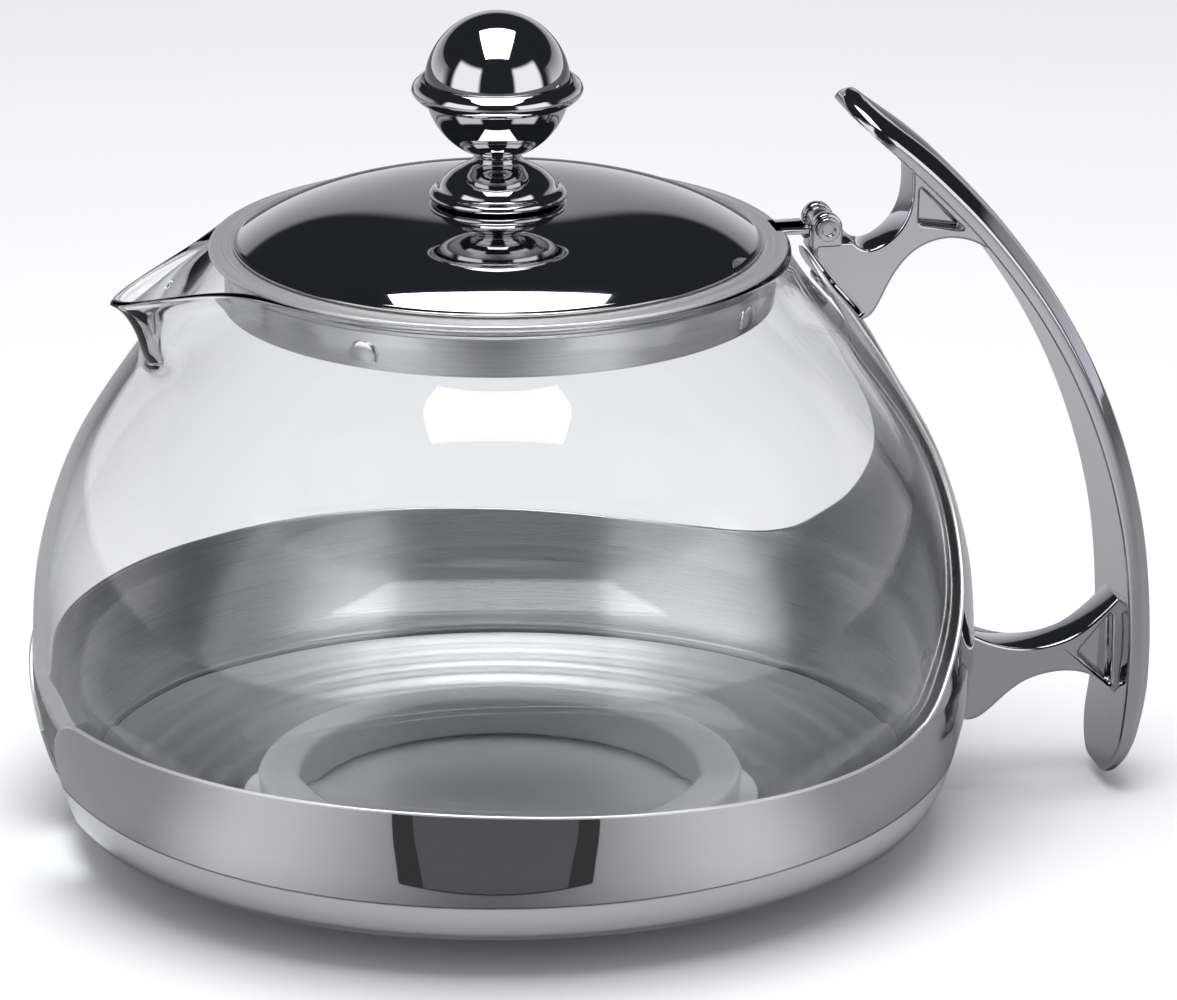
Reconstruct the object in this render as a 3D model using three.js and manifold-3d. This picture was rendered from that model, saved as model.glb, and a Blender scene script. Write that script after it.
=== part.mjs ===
// Glass teapot in a polished steel base shell, with a cast handle and a hinged lid.
// Millimetres, +Z up. The origin is on the pot's axis, on the surface it stands on.
// The handle points along +X, the pouring beak along -X, and the lid turns about a Y axis.
import * as THREE from 'three';
import { mergeVertices } from 'three/addons/utils/BufferGeometryUtils.js';
import Module from 'manifold-3d';

const wasm = await Module();
wasm.setup();

// ---------------------------------------------------------------- driving dimensions

const CLEARANCE = 0.3;            // between pieces that touch

// glass pot
const GLASS_WALL = 2.1;
const GLASS_BOTTOM_Z = 8;
const GLASS_FLOOR_RADIUS = 41;    // flat part of the bottom
const BELLY_RADIUS = 75.5;
const BELLY_Z = 32;
const NECK_RADIUS = 46.7;         // outside of the neck at the rim
const RIM_Z = 97.2;
const BEAK_REACH = 15.8;          // how far the beak stands out of the neck
const BEAK_DROP = 5.4;            // how far its tip lies below the rim
const BEAK_START_Z = 82;          // where the beak leaves the shoulder
const BEAK_ANGLE = 12;            // degrees from its middle to 1/e of its reach, at the lip
const BEAK_ROOT_SHARE = 0.7;      // the beak's width at its root, as a share of that at the lip
const BEAK_FALLOFF = 1.6;         // 2 would be a bell curve, less is more pointed
const BOWL_POWER = 2.15;          // 2 would be an ellipse, more is squarer

// steel base shell with the strap that runs up the shoulder under the handle
const SHEET = 0.7;
const SHELL_GAP = 0.5;            // between shell and glass at the rim
const STRAP_GAP = 0.65;           // and under the strap
const SHELL_RIM_Z = 30;
const SHELL_SEAM_Z = 6.9;
const SHELL_SEAM_RADIUS = 70;
const NOTCH_HALF_ANGLE = 8.7;     // half of the gap between the shell's two ends
const NOTCH_CORNER = 10.5;        // degrees over which the ends' upper corners are rounded
const NOTCH_CORNER_DEPTH = 13;    // and how far down the rounding reaches
const STRAP_TOP_Z = 94.2;
const STRAP_STANDOFF = 1.5;       // extra distance from the glass at the strap's top end
const STANDOFF_FROM_Z = 70;
const STANDOFF_TO_Z = 84;

// base pan and the silicone ring that the glass sits on
const PAN_FOOT_RADIUS = 46;
const PAN_THICKNESS = 0.8;
const CUSHION_RADIUS = 36;
const CUSHION_WIDTH = 7;

// handle casting
const GRIP_WIDTH = 21.5;
const GRIP_THICKNESS = 4.7;
const GRIP_END_THICKNESS = 3.4;
const GRIP_SIDE = 2.1;            // height of the flat side face
const GRIP_BEVEL = 2.6;
const GRIP_ROUND_SHARE = 0.07;    // share of the grip's length over which each end is rounded
const BRACKET_WIDTH = 8.2;
const POCKET_DEPTH = 2.6;
const UPPER_POCKET = [[68.3, 104.6], [68.1, 98.2], [75.8, 96.9]];
const LOWER_POCKET = [[96, 23.2], [101.9, 30], [101.9, 17]];
const UPPER_SCREW_Z = 88.4;
const LOWER_SCREW_Z = 20.5;
const SCREW_RADIUS = 1.5;
const SCREW_HEAD_RADIUS = 3;
const SCREW_HEAD_HEIGHT = 0.9;
const UPPER_SCREW_LENGTH = 6;
const LOWER_SCREW_LENGTH = 9;

// lid
const FLANGE_RADIUS = 46.1;
const FLANGE_BORE = 40.5;
const FLANGE_TOP_Z = 98.3;
const FLANGE_SHEET = 0.8;
const DOME_RADIUS = 42.3;
const DOME_RISE = 6.9;
const DOME_POWER = 4.2;
const DOME_SHEET = 0.6;
const SKIRT_RADIUS = 43.6;
const SKIRT_BOTTOM_Z = 89;
const SKIRT_SHEET = 0.6;
const TONGUE_WIDTH = 6.8;
const BUMP_ANGLES = [45, 135, 225, 315];
const BUMP_SIZE = [0.5, 1.4, 1.2];
const BUMP_Z = 93.4;

// hinge
const HINGE_X = 53;
const HINGE_Z = 98.4;
const PIN_RADIUS = 1;
const PIN_HEAD_RADIUS = 1.95;
const PIN_HEAD_HEIGHT = 0.7;
const KNUCKLE_RADIUS = 2.15;
const KNUCKLE_WIDTH = 3.8;
const LUG_RADIUS = 2.5;
const SLOT_WIDTH = 4.4;
const LUG_FOOT_Z = 96.6;          // middle of the block under the lugs
const LUG_FOOT_HEIGHT = 3;

// knob
const KNOB_FOOT_RADIUS = 11;
const KNOB_NECK_RADIUS = 3.7;
const BALL_RADIUS = 11.6;
const BALL_Z = 124.4;
const BALL_SHEET = 0.7;
const BAND_RADIUS = 13.7;
const BAND_Z = 123.6;
const BAND_HEIGHT = 5;
const KNOB_SCREW_RADIUS = 1.5;
const KNOB_SCREW_HEAD_HEIGHT = 2;
const INSERT_RADIUS = 3.4;
const INSERT_LENGTH = 4.4;
const WASHER_RADIUS = 4.5;
const WASHER_THICKNESS = 0.8;
const KNOB_FOOT_HEIGHT = 6.9;

// facets
const AROUND = 48;
const AROUND_SMALL = 24;
const SHELL_ROWS = 11;
const GLASS_COLUMNS = 56;
const CROWDING = 0.55;            // how much closer the glass columns lie at the beak

const radians = THREE.MathUtils.degToRad;
const smooth = THREE.MathUtils.smoothstep;

// ---------------------------------------------------------------- materials

function finish(color, roughness, metalness, opacity = 1) {
  return new THREE.MeshStandardMaterial({
    color, roughness, metalness, opacity, transparent: opacity < 1,
  });
}

const clearGlass = finish(0xf4f7f8, 0.02, 0, 0.35);
const mirrorSteel = finish(0xc9cacd, 0.06, 1);
const satinSteel = finish(0xa9aaac, 0.32, 1);
const chromedCasting = finish(0xb9bbc0, 0.08, 1);
const screwSteel = finish(0x9c9da0, 0.25, 1);
const silicone = finish(0xe6e8e8, 0.6, 0, 0.8);

// ---------------------------------------------------------------- geometry helpers

// A closed mesh with only positions and shared vertices.
function welded(geometry) {
  const bare = geometry.clone();
  for (const name of Object.keys(bare.attributes)) {
    if (name !== 'position') bare.deleteAttribute(name);
  }
  return mergeVertices(bare, 1e-4);
}

function toManifold(geometry) {
  const bare = welded(geometry);
  return new wasm.Manifold(new wasm.Mesh({
    numProp: 3,
    vertProperties: new Float32Array(bare.attributes.position.array),
    triVerts: new Uint32Array(bare.index.array),
  }));
}

function fromManifold(solid) {
  const mesh = solid.getMesh();
  const geometry = new THREE.BufferGeometry();
  geometry.setAttribute('position', new THREE.BufferAttribute(mesh.vertProperties, 3));
  geometry.setIndex(new THREE.BufferAttribute(mesh.triVerts, 1));
  geometry.computeVertexNormals();
  return geometry;
}

function joined(...geometries) {
  return fromManifold(geometries.map(toManifold).reduce((sum, part) => sum.add(part)));
}

function cut(body, ...tools) {
  return fromManifold(tools.map(toManifold).reduce((rest, tool) => rest.subtract(tool), toManifold(body)));
}

// Revolves a list of [radius, z] points about the Z axis.
function revolve(profile, segments = AROUND) {
  const points = profile.map(([radius, z]) => new THREE.Vector2(radius, z));
  const geometry = welded(new THREE.LatheGeometry(points, segments));
  geometry.rotateX(Math.PI / 2);
  return geometry;
}

// A profile that starts and ends on the axis, or returns to its first point.
const ring = (profile) => [...profile, profile[0]];

// A solid cylinder along Y, centred at x, z.
function pinAlongY(radius, length, x, z, sides = 20) {
  const geometry = new THREE.CylinderGeometry(radius, radius, length, sides);
  geometry.translate(x, 0, z);
  return geometry;
}

// A plate in the XZ plane, centred on Y.
function plate(shape, width, steps = 6) {
  const geometry = new THREE.ExtrudeGeometry(shape, {
    depth: width, bevelEnabled: false, curveSegments: steps,
  });
  geometry.translate(0, 0, -width / 2);
  geometry.rotateX(Math.PI / 2);
  return geometry;
}

function boxAt(sizeX, sizeY, sizeZ, x, y, z) {
  const geometry = new THREE.BoxGeometry(sizeX, sizeY, sizeZ);
  geometry.translate(x, y, z);
  return geometry;
}

// Skins rows of points into one closed body: every row is a closed loop of equal length.
function loft(rows) {
  const count = rows[0].length;
  const positions = rows.flat().flatMap((point) => [point.x, point.y, point.z]);
  const indices = [];
  for (let row = 0; row + 1 < rows.length; row++) {
    for (let i = 0; i < count; i++) {
      const a = row * count + i;
      const b = row * count + (i + 1) % count;
      indices.push(a, b, a + count, b, b + count, a + count);
    }
  }
  // the ends are closed by strips between each point and the one across the loop from it
  const last = (rows.length - 1) * count;
  for (let i = 0; i + 1 < count / 2; i++) {
    const across = count - 1 - i;
    indices.push(i, across, across - 1, i, across - 1, i + 1);
    indices.push(last + i, last + i + 1, last + across - 1);
    indices.push(last + i, last + across - 1, last + across);
  }
  const geometry = new THREE.BufferGeometry();
  geometry.setAttribute('position', new THREE.Float32BufferAttribute(positions, 3));
  geometry.setIndex(indices);
  return geometry;
}

// ---------------------------------------------------------------- the pot's outline

// Outside of the glass above the belly, from the belly to the rim.
const shoulderCurve = new THREE.SplineCurve([
  [BELLY_RADIUS, BELLY_Z], [74.2, 47], [68.6, 64], [57.6, 81], [50.7, 89.5],
  [NECK_RADIUS + 0.6, 94.6], [NECK_RADIUS, RIM_Z],
].map(([radius, z]) => new THREE.Vector2(radius, z)));

// Radius of a rising outline at a height, by bisection along the curve.
function radiusOn(curve, z) {
  let low = 0;
  let high = 1;
  for (let step = 0; step < 30; step++) {
    const middle = (low + high) / 2;
    if (curve.getPoint(middle).y < z) low = middle;
    else high = middle;
  }
  return curve.getPoint(low).x;
}

// Lower part of the bowl: a superellipse from the flat floor to the belly.
function bowlPoint(t) {
  const angle = t * Math.PI / 2;
  const power = 2 / BOWL_POWER;
  return [
    GLASS_FLOOR_RADIUS + (BELLY_RADIUS - GLASS_FLOOR_RADIUS) * Math.sin(angle) ** power,
    BELLY_Z - (BELLY_Z - GLASS_BOTTOM_Z) * Math.cos(angle) ** power,
  ];
}

// ---------------------------------------------------------------- glass pot

// Pulls the rim out into the pouring beak, around the -X direction.
function pullBeak(geometry) {
  const position = geometry.attributes.position;
  const point = new THREE.Vector3();
  for (let i = 0; i < position.count; i++) {
    point.fromBufferAttribute(position, i);
    const height = THREE.MathUtils.clamp((point.z - BEAK_START_Z) / (RIM_Z - BEAK_START_Z), 0, 1);
    const radius = Math.hypot(point.x, point.y);
    if (height > 0 && radius > 1) {
      const away = Math.atan2(point.y, -point.x);
      const angle = Math.abs(THREE.MathUtils.radToDeg(away));
      const spread = BEAK_ANGLE * THREE.MathUtils.lerp(BEAK_ROOT_SHARE, 1, height);
      const pull = height * Math.exp(-((angle / spread) ** BEAK_FALLOFF));
      const pulled = radius + BEAK_REACH * pull;
      point.x = -pulled * Math.cos(away);
      point.y = pulled * Math.sin(away);
      point.z -= BEAK_DROP * pull;
      position.setXYZ(i, point.x, point.y, point.z);
    }
  }
  return geometry;
}

// Turns evenly spaced columns so that they lie closer together near -X.
function crowdTowardsBeak(geometry) {
  const position = geometry.attributes.position;
  for (let i = 0; i < position.count; i++) {
    const x = position.getX(i);
    const y = position.getY(i);
    const away = Math.atan2(y, -x);
    const crowded = away - CROWDING * Math.sin(away);
    const radius = Math.hypot(x, y);
    position.setX(i, -radius * Math.cos(crowded));
    position.setY(i, radius * Math.sin(crowded));
  }
  return geometry;
}

function glassPot() {
  const outside = [[0, GLASS_BOTTOM_Z]];
  for (let step = 0; step <= 7; step++) outside.push(bowlPoint(step / 7));
  for (const t of [0.1, 0.22, 0.34, 0.46, 0.58, 0.67, 0.75, 0.83, 0.91, 1]) {
    const point = shoulderCurve.getPoint(t);
    outside.push([point.x, point.y]);
  }
  const inside = outside.slice(1, -1).map(([radius, z], i) => {
    const before = outside[i];
    const after = outside[i + 2];
    const along = Math.hypot(after[0] - before[0], after[1] - before[1]);
    const normalX = (after[1] - before[1]) / along;
    const normalZ = -(after[0] - before[0]) / along;
    return [radius - GLASS_WALL * normalX, z - GLASS_WALL * normalZ];
  }).reverse();
  const profile = [
    ...outside,
    [NECK_RADIUS - 0.6, RIM_Z + 0.05],
    [NECK_RADIUS - GLASS_WALL, RIM_Z - 0.3],
    ...inside,
    [0, GLASS_BOTTOM_Z + GLASS_WALL],
  ];
  return pullBeak(crowdTowardsBeak(revolve(profile, GLASS_COLUMNS)));
}

// ---------------------------------------------------------------- base shell

// Inside of the shell wall, from the seam up to where it meets the glass, then up the shoulder.
const shellWall = new THREE.SplineCurve([
  [SHELL_SEAM_RADIUS - 0.6, SHELL_SEAM_Z], [71.6, 10.2], [73.6, 16], [75.2, 23],
  [BELLY_RADIUS + SHELL_GAP, SHELL_RIM_Z],
].map(([radius, z]) => new THREE.Vector2(radius, z)));

function shellInnerRadius(z) {
  if (z < SHELL_RIM_Z) return radiusOn(shellWall, z);
  const lift = STRAP_STANDOFF * smooth(z, STANDOFF_FROM_Z, STANDOFF_TO_Z);
  return radiusOn(shoulderCurve, Math.max(z, BELLY_Z)) + STRAP_GAP + lift;
}

// Change of the shell's inner radius per millimetre of height.
function shellSlope(z) {
  const step = 0.2;
  return (shellInnerRadius(z + step) - shellInnerRadius(z - step)) / (2 * step);
}

// Horizontal distance through a wall of this thickness at a height.
const levelThickness = (thickness, z) => thickness * Math.hypot(1, shellSlope(z));

// Height of the shell's upper edge at an angle in degrees from +X.
const edgeHeights = [
  [0, STRAP_TOP_Z], [4, STRAP_TOP_Z - 0.6], [7.5, STRAP_TOP_Z - 2.6], [9.6, STRAP_TOP_Z - 6],
  [11, 78], [12.6, 66], [16.2, 56], [21.7, 47.6], [26.7, 41], [31.6, 36.2], [36.6, 32], [42, 29.4],
  [50, 28], [62, 27.6], [80, 28.4], [105, 29.7], [130, SHELL_RIM_Z], [180, SHELL_RIM_Z],
];

function edgeHeight(angle) {
  const notchEdge = 180 - NOTCH_HALF_ANGLE;
  const corner = notchEdge - NOTCH_CORNER;
  if (angle > corner) {
    const t = Math.min((angle - corner) / NOTCH_CORNER, 1);
    return SHELL_RIM_Z - NOTCH_CORNER_DEPTH * (1 - Math.sqrt(1 - t * t));
  }
  const next = Math.max(edgeHeights.findIndex(([at]) => at >= angle), 1);
  const [fromAngle, fromZ] = edgeHeights[next - 1];
  const [toAngle, toZ] = edgeHeights[next];
  return THREE.MathUtils.mapLinear(angle, fromAngle, toAngle, fromZ, toZ);
}

// The shell is one sheet: each column runs from the seam to the upper edge and back inside.
function baseShell() {
  const angles = [];
  for (const [angle] of edgeHeights) if (angle > 0 && angle < 180) angles.push(angle);
  const notchEdge = 180 - NOTCH_HALF_ANGLE;
  for (const t of [0, 0.35, 0.6, 0.8, 0.93, 1]) angles.push(notchEdge - NOTCH_CORNER * (1 - t));
  for (const middle of [56, 68, 74, 87, 94, 99, 112, 119, 125, 138, 146, 154]) angles.push(middle);
  angles.sort((a, b) => a - b);
  const columns = [...angles.map((angle) => -angle).reverse(), 0, ...angles];
  const rows = columns.map((angle) => {
    const top = edgeHeight(Math.abs(angle));
    const turn = radians(angle);
    const outer = [];
    const inner = [];
    for (let row = 0; row <= SHELL_ROWS; row++) {
      const z = THREE.MathUtils.lerp(SHELL_SEAM_Z, top, row / SHELL_ROWS);
      const radius = shellInnerRadius(z);
      inner.push(new THREE.Vector3(radius * Math.cos(turn), radius * Math.sin(turn), z));
      const far = radius + levelThickness(SHEET, z);
      outer.push(new THREE.Vector3(far * Math.cos(turn), far * Math.sin(turn), z));
    }
    return [...outer.reverse(), ...inner];
  });
  return cut(loft(rows), screwHole(LOWER_SCREW_Z), screwHole(UPPER_SCREW_Z));
}

// ---------------------------------------------------------------- base pan and cushion

// A shallow pressed pan that closes the shell; its flat foot is what the pot stands on.
function basePan() {
  const edge = SHELL_SEAM_RADIUS - 0.4;
  const outside = [
    [0, 0], [PAN_FOOT_RADIUS - 2, 0], [PAN_FOOT_RADIUS, 0.25], [PAN_FOOT_RADIUS + 8, 2.3],
    [edge - 6, 4.6], [edge - 2, 5.6], [edge, SHELL_SEAM_Z - CLEARANCE],
  ];
  const inside = outside.slice(1).reverse().map(([radius, z], i) => (
    [radius - (i === 0 ? PAN_THICKNESS : PAN_THICKNESS * 0.2), z + (i === 0 ? 0 : PAN_THICKNESS)]
  ));
  return revolve([...outside, ...inside, [0, PAN_THICKNESS]]);
}

function cushionRing() {
  const bottom = PAN_THICKNESS + CLEARANCE;
  const top = GLASS_BOTTOM_Z - CLEARANCE;
  const inner = CUSHION_RADIUS - CUSHION_WIDTH / 2;
  const outer = CUSHION_RADIUS + CUSHION_WIDTH / 2;
  return revolve(ring([
    [inner, bottom], [outer, bottom], [outer, top - 1], [outer - 1, top], [inner + 1, top],
    [inner, top - 1],
  ]), 40);
}

// ---------------------------------------------------------------- handle casting

// Inner face of the grip, seen from the side, from the thumb end down to the lower end.
const gripCurve = new THREE.CatmullRomCurve3([
  [55.2, 118.4], [65, 109.2], [77.5, 96], [88.5, 80.3], [96.2, 64], [101.2, 46], [102.9, 28],
  [102.3, 14], [100.2, 1.6],
].map(([x, z]) => new THREE.Vector3(x, 0, z)), false, 'centripetal');

// Half of the grip's width at a share t of its length: rounded ends.
function gripHalfWidth(t) {
  const inward = Math.min(t, 1 - t, GRIP_ROUND_SHARE) / GRIP_ROUND_SHARE;
  return GRIP_WIDTH / 2 * Math.max(Math.sqrt(1 - (1 - inward) ** 2), 0.16);
}

function grip() {
  const stations = [0, 0.004, 0.012, 0.025, 0.042, GRIP_ROUND_SHARE];
  for (let t = 0.12; t < 0.9; t += 0.07) stations.push(t);
  stations.push(0.93, 0.958, 0.975, 0.988, 0.996, 1);
  const rows = stations.map((t) => {
    const base = gripCurve.getPointAt(t);
    const along = gripCurve.getTangentAt(t);
    const outward = new THREE.Vector3(-along.z, 0, along.x);
    const half = gripHalfWidth(t);
    const nearEnd = smooth(Math.min(t, 1 - t), 0, 0.14);
    const thickness = THREE.MathUtils.lerp(GRIP_END_THICKNESS, GRIP_THICKNESS, nearEnd);
    const bevel = Math.min(GRIP_BEVEL, half * 0.5);
    const section = [
      [-half, 0.5], [-half + 0.5, 0], [half - 0.5, 0], [half, 0.5], [half, GRIP_SIDE],
      [half - bevel, thickness - 0.4], [half * 0.35, thickness], [-half * 0.35, thickness],
      [-half + bevel, thickness - 0.4], [-half, GRIP_SIDE],
    ];
    return section.map(([y, rise]) => (
      base.clone().addScaledVector(outward, rise).add(new THREE.Vector3(0, y, 0))
    ));
  });
  return loft(rows);
}

// Side outline of the upper bracket: a wedge that grips the strap and a waist to the grip.
function upperBracketShape() {
  const shape = new THREE.Shape();
  shape.moveTo(46, 94.8);
  shape.lineTo(48.8, 94.8);
  shape.lineTo(49.6, 96);
  shape.lineTo(57.3, 96);
  shape.quadraticCurveTo(59, 93.6, 62, 95.1);
  shape.bezierCurveTo(66, 97.4, 67.6, 101, 66.8, 108);
  shape.lineTo(70, 107);
  shape.lineTo(81.5, 94);
  shape.lineTo(80, 93);
  shape.bezierCurveTo(76, 96.4, 69.5, 96.6, 65.6, 92);
  shape.bezierCurveTo(62.6, 88.6, 62, 84.6, 60, 83.2);
  shape.quadraticCurveTo(57.6, 81.9, 56, 84);
  shape.lineTo(50, 84);
  return shape;
}

function lowerBracketShape() {
  const shape = new THREE.Shape();
  shape.moveTo(72, 28.4);
  shape.lineTo(77.4, 28.4);
  shape.bezierCurveTo(82, 25, 88, 23.4, 94.6, 25.8);
  shape.quadraticCurveTo(98.6, 27.6, 103.5, 33);
  shape.lineTo(103.5, 14);
  shape.bezierCurveTo(100, 20.4, 94, 21, 88.5, 19.4);
  shape.bezierCurveTo(84, 18, 81.5, 13.6, 78.6, 12.9);
  shape.quadraticCurveTo(76.8, 12.6, 75.6, 14.2);
  shape.lineTo(72, 14.2);
  return shape;
}

function pocketShape(corners) {
  const shape = new THREE.Shape();
  corners.forEach(([x, z], i) => (i === 0 ? shape.moveTo(x, z) : shape.lineTo(x, z)));
  return shape;
}

// Two triangular pockets, one from each side, leave a web in the middle of a bracket.
function pockets(corners) {
  return [-1, 1].map((side) => {
    const tool = plate(pocketShape(corners), POCKET_DEPTH * 2);
    tool.translate(0, side * BRACKET_WIDTH / 2, 0);
    return tool;
  });
}

// Direction out of the pot at a screw, in the XZ plane, and the point where it leaves the shell.
function screwFrame(z) {
  const slope = (shellInnerRadius(z + 0.5) - shellInnerRadius(z - 0.5));
  const length = Math.hypot(1, slope);
  return {
    x: shellInnerRadius(z), z, outX: 1 / length, outZ: -slope / length,
  };
}

// A cylinder along the screw's direction, from one distance out of the shell's inside to another.
function alongScrew(z, radius, from, to, sides = 16) {
  const frame = screwFrame(z);
  const geometry = new THREE.CylinderGeometry(radius, radius, to - from, sides);
  geometry.translate(0, (from + to) / 2, 0);
  geometry.rotateZ(-Math.PI / 2);
  geometry.rotateY(Math.atan2(-frame.outZ, frame.outX));
  geometry.translate(frame.x, 0, frame.z);
  return geometry;
}

function screwHole(z) {
  return alongScrew(z, SCREW_RADIUS + CLEARANCE, -3, 4);
}

function handle() {
  const width = BRACKET_WIDTH;
  const lug = pinAlongY(LUG_RADIUS, width, HINGE_X, HINGE_Z);
  const lugFoot = boxAt(LUG_RADIUS * 2, width, LUG_FOOT_HEIGHT, HINGE_X, 0, LUG_FOOT_Z);
  const body = joined(
    grip(),
    plate(upperBracketShape(), width),
    plate(lowerBracketShape(), width),
    lug,
    lugFoot,
  );
  // everything inside the shell's outer face, with a clearance, is taken away
  const potProfile = [[0, 2]];
  for (let z = 10; z <= 102; z += 4) {
    const at = Math.min(Math.max(z, SHELL_SEAM_Z), STRAP_TOP_Z);
    potProfile.push([shellInnerRadius(at) + levelThickness(SHEET + CLEARANCE, at), z]);
  }
  potProfile.push([0, 102]);
  return cut(
    body,
    revolve(potProfile, 120),
    boxAt(14, SLOT_WIDTH, 8, HINGE_X - 2.5, 0, 99.2),
    pinAlongY(PIN_RADIUS + CLEARANCE, width + 2, HINGE_X, HINGE_Z),
    ...pockets(UPPER_POCKET),
    ...pockets(LOWER_POCKET),
    alongScrew(LOWER_SCREW_Z, SCREW_RADIUS + CLEARANCE, -1, LOWER_SCREW_LENGTH + 0.6),
    alongScrew(UPPER_SCREW_Z, SCREW_RADIUS + CLEARANCE, -1, UPPER_SCREW_LENGTH + 0.6),
  );
}

// A pan-head screw whose head bears on the inside of the shell.
function bracketScrew(z, length) {
  const head = alongScrew(z, SCREW_HEAD_RADIUS, -SCREW_HEAD_HEIGHT - CLEARANCE, -CLEARANCE, 20);
  const shank = alongScrew(z, SCREW_RADIUS, -CLEARANCE - 0.1, length);
  const slot = alongScrew(z, 0.7, -SCREW_HEAD_HEIGHT - 1, -SCREW_HEAD_HEIGHT + 0.1, 6);
  return cut(joined(head, shank), slot);
}

function hingePin() {
  const width = BRACKET_WIDTH + 2 * CLEARANCE;
  const parts = [pinAlongY(PIN_RADIUS, width + 0.4, HINGE_X, HINGE_Z)];
  const hollows = [];
  for (const side of [-1, 1]) {
    const head = pinAlongY(PIN_HEAD_RADIUS, PIN_HEAD_HEIGHT, HINGE_X, HINGE_Z, 24);
    head.translate(0, side * (width + PIN_HEAD_HEIGHT) / 2, 0);
    parts.push(head);
    const hollow = pinAlongY(1.1, 0.8, HINGE_X, HINGE_Z, 16);
    hollow.translate(0, side * (width / 2 + PIN_HEAD_HEIGHT), 0);
    hollows.push(hollow);
  }
  return cut(joined(...parts), ...hollows);
}

// ---------------------------------------------------------------- lid

const flangeBottomZ = FLANGE_TOP_Z - FLANGE_SHEET;

// Flange, rolled edge and skirt, with the tongue and knuckle of the hinge.
function lidCollar() {
  const skirtInside = SKIRT_RADIUS - SKIRT_SHEET;
  const turned = revolve(ring([
    [skirtInside, SKIRT_BOTTOM_Z], [SKIRT_RADIUS, SKIRT_BOTTOM_Z], [SKIRT_RADIUS, 95.6],
    [SKIRT_RADIUS + 0.5, 96.2], [SKIRT_RADIUS + 0.5, flangeBottomZ],
    [FLANGE_RADIUS - 0.3, flangeBottomZ], [FLANGE_RADIUS, flangeBottomZ + 0.3],
    [FLANGE_RADIUS, FLANGE_TOP_Z - 0.3], [FLANGE_RADIUS - 0.3, FLANGE_TOP_Z],
    [FLANGE_BORE, FLANGE_TOP_Z], [FLANGE_BORE, flangeBottomZ], [skirtInside, flangeBottomZ],
  ]), AROUND);
  const tongueStart = FLANGE_RADIUS - 1.5;
  const tongueEnd = HINGE_X - LUG_RADIUS - CLEARANCE;
  const tongue = boxAt(
    tongueEnd - tongueStart, TONGUE_WIDTH, FLANGE_SHEET,
    (tongueStart + tongueEnd) / 2, 0, FLANGE_TOP_Z - FLANGE_SHEET / 2,
  );
  const leafEnd = HINGE_X - PIN_RADIUS - CLEARANCE;
  const leaf = boxAt(
    leafEnd - tongueStart, KNUCKLE_WIDTH, FLANGE_SHEET,
    (tongueStart + leafEnd) / 2, 0, FLANGE_TOP_Z - FLANGE_SHEET / 2,
  );
  const knuckle = pinAlongY(KNUCKLE_RADIUS, KNUCKLE_WIDTH, HINGE_X, HINGE_Z);
  const bumps = BUMP_ANGLES.map((angle) => {
    const bump = new THREE.SphereGeometry(1, 12, 8);
    bump.scale(...BUMP_SIZE);
    bump.translate(SKIRT_RADIUS, 0, BUMP_Z);
    bump.rotateZ(radians(angle));
    return bump;
  });
  return cut(
    joined(turned, tongue, leaf, knuckle, ...bumps),
    pinAlongY(PIN_RADIUS + CLEARANCE, KNUCKLE_WIDTH + 2, HINGE_X, HINGE_Z),
  );
}

const domeBaseZ = FLANGE_TOP_Z + CLEARANCE;
const domeHeight = (radius) => domeBaseZ + DOME_RISE * (1 - (radius / DOME_RADIUS) ** DOME_POWER);

// Polished cap, open underneath, with a hole for the knob's screw.
function lidDome() {
  const radii = [41.4, 39.5, 36.5, 33, 29, 24, 18, 10, KNOB_SCREW_RADIUS + CLEARANCE];
  const outside = radii.map((radius) => [radius, domeHeight(radius)]);
  const inside = radii.slice(1).reverse().map((radius) => [radius, domeHeight(radius) - DOME_SHEET]);
  return revolve(ring([
    [DOME_RADIUS, domeBaseZ], ...outside, ...inside, [DOME_RADIUS - 1.2 * DOME_SHEET, domeBaseZ],
  ]));
}

// ---------------------------------------------------------------- knob

const domeTopZ = domeBaseZ + DOME_RISE;

// Bell-shaped foot with a rounded rim that narrows into the neck.
function knobFoot() {
  const base = domeTopZ + CLEARANCE;
  const bore = KNOB_SCREW_RADIUS + CLEARANCE;
  return revolve(ring([
    [bore, base], [KNOB_FOOT_RADIUS - 0.5, base], [KNOB_FOOT_RADIUS, base + 0.6],
    [KNOB_FOOT_RADIUS - 0.5, base + 1.3], [9.6, base + 1.7], [8.9, base + 2.9],
    [7.4, base + 4.2], [5.6, base + 5.2], [4.3, base + 6], [KNOB_NECK_RADIUS, base + KNOB_FOOT_HEIGHT],
    [bore, base + KNOB_FOOT_HEIGHT],
  ]), AROUND_SMALL);
}

const footTopZ = domeTopZ + CLEARANCE + KNOB_FOOT_HEIGHT;

// Radius of the ball's outside at a height; the lower half is slightly drawn out.
function ballRadius(z) {
  const stretch = z < BALL_Z ? 1.03 : 1;
  const share = Math.min(Math.abs(z - BALL_Z) / (BALL_RADIUS * stretch), 1);
  return BALL_RADIUS * Math.sqrt(1 - share * share);
}

function knobLowerCup() {
  const bottom = footTopZ + CLEARANCE;
  const top = BAND_Z - CLEARANCE;
  const bore = KNOB_SCREW_RADIUS + CLEARANCE;
  const outside = [[bore, bottom], [KNOB_NECK_RADIUS, bottom], [4.4, bottom + 0.5]];
  const inside = [[4, bottom + 1.6], [bore, bottom + 1.2]];
  for (const t of [0.25, 0.45, 0.65, 0.85, 1]) {
    const z = THREE.MathUtils.lerp(bottom, top, t);
    outside.push([ballRadius(z), z]);
    inside.unshift([ballRadius(z) - BALL_SHEET, z]);
  }
  return revolve(ring([...outside, ...inside]), AROUND_SMALL);
}

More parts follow.
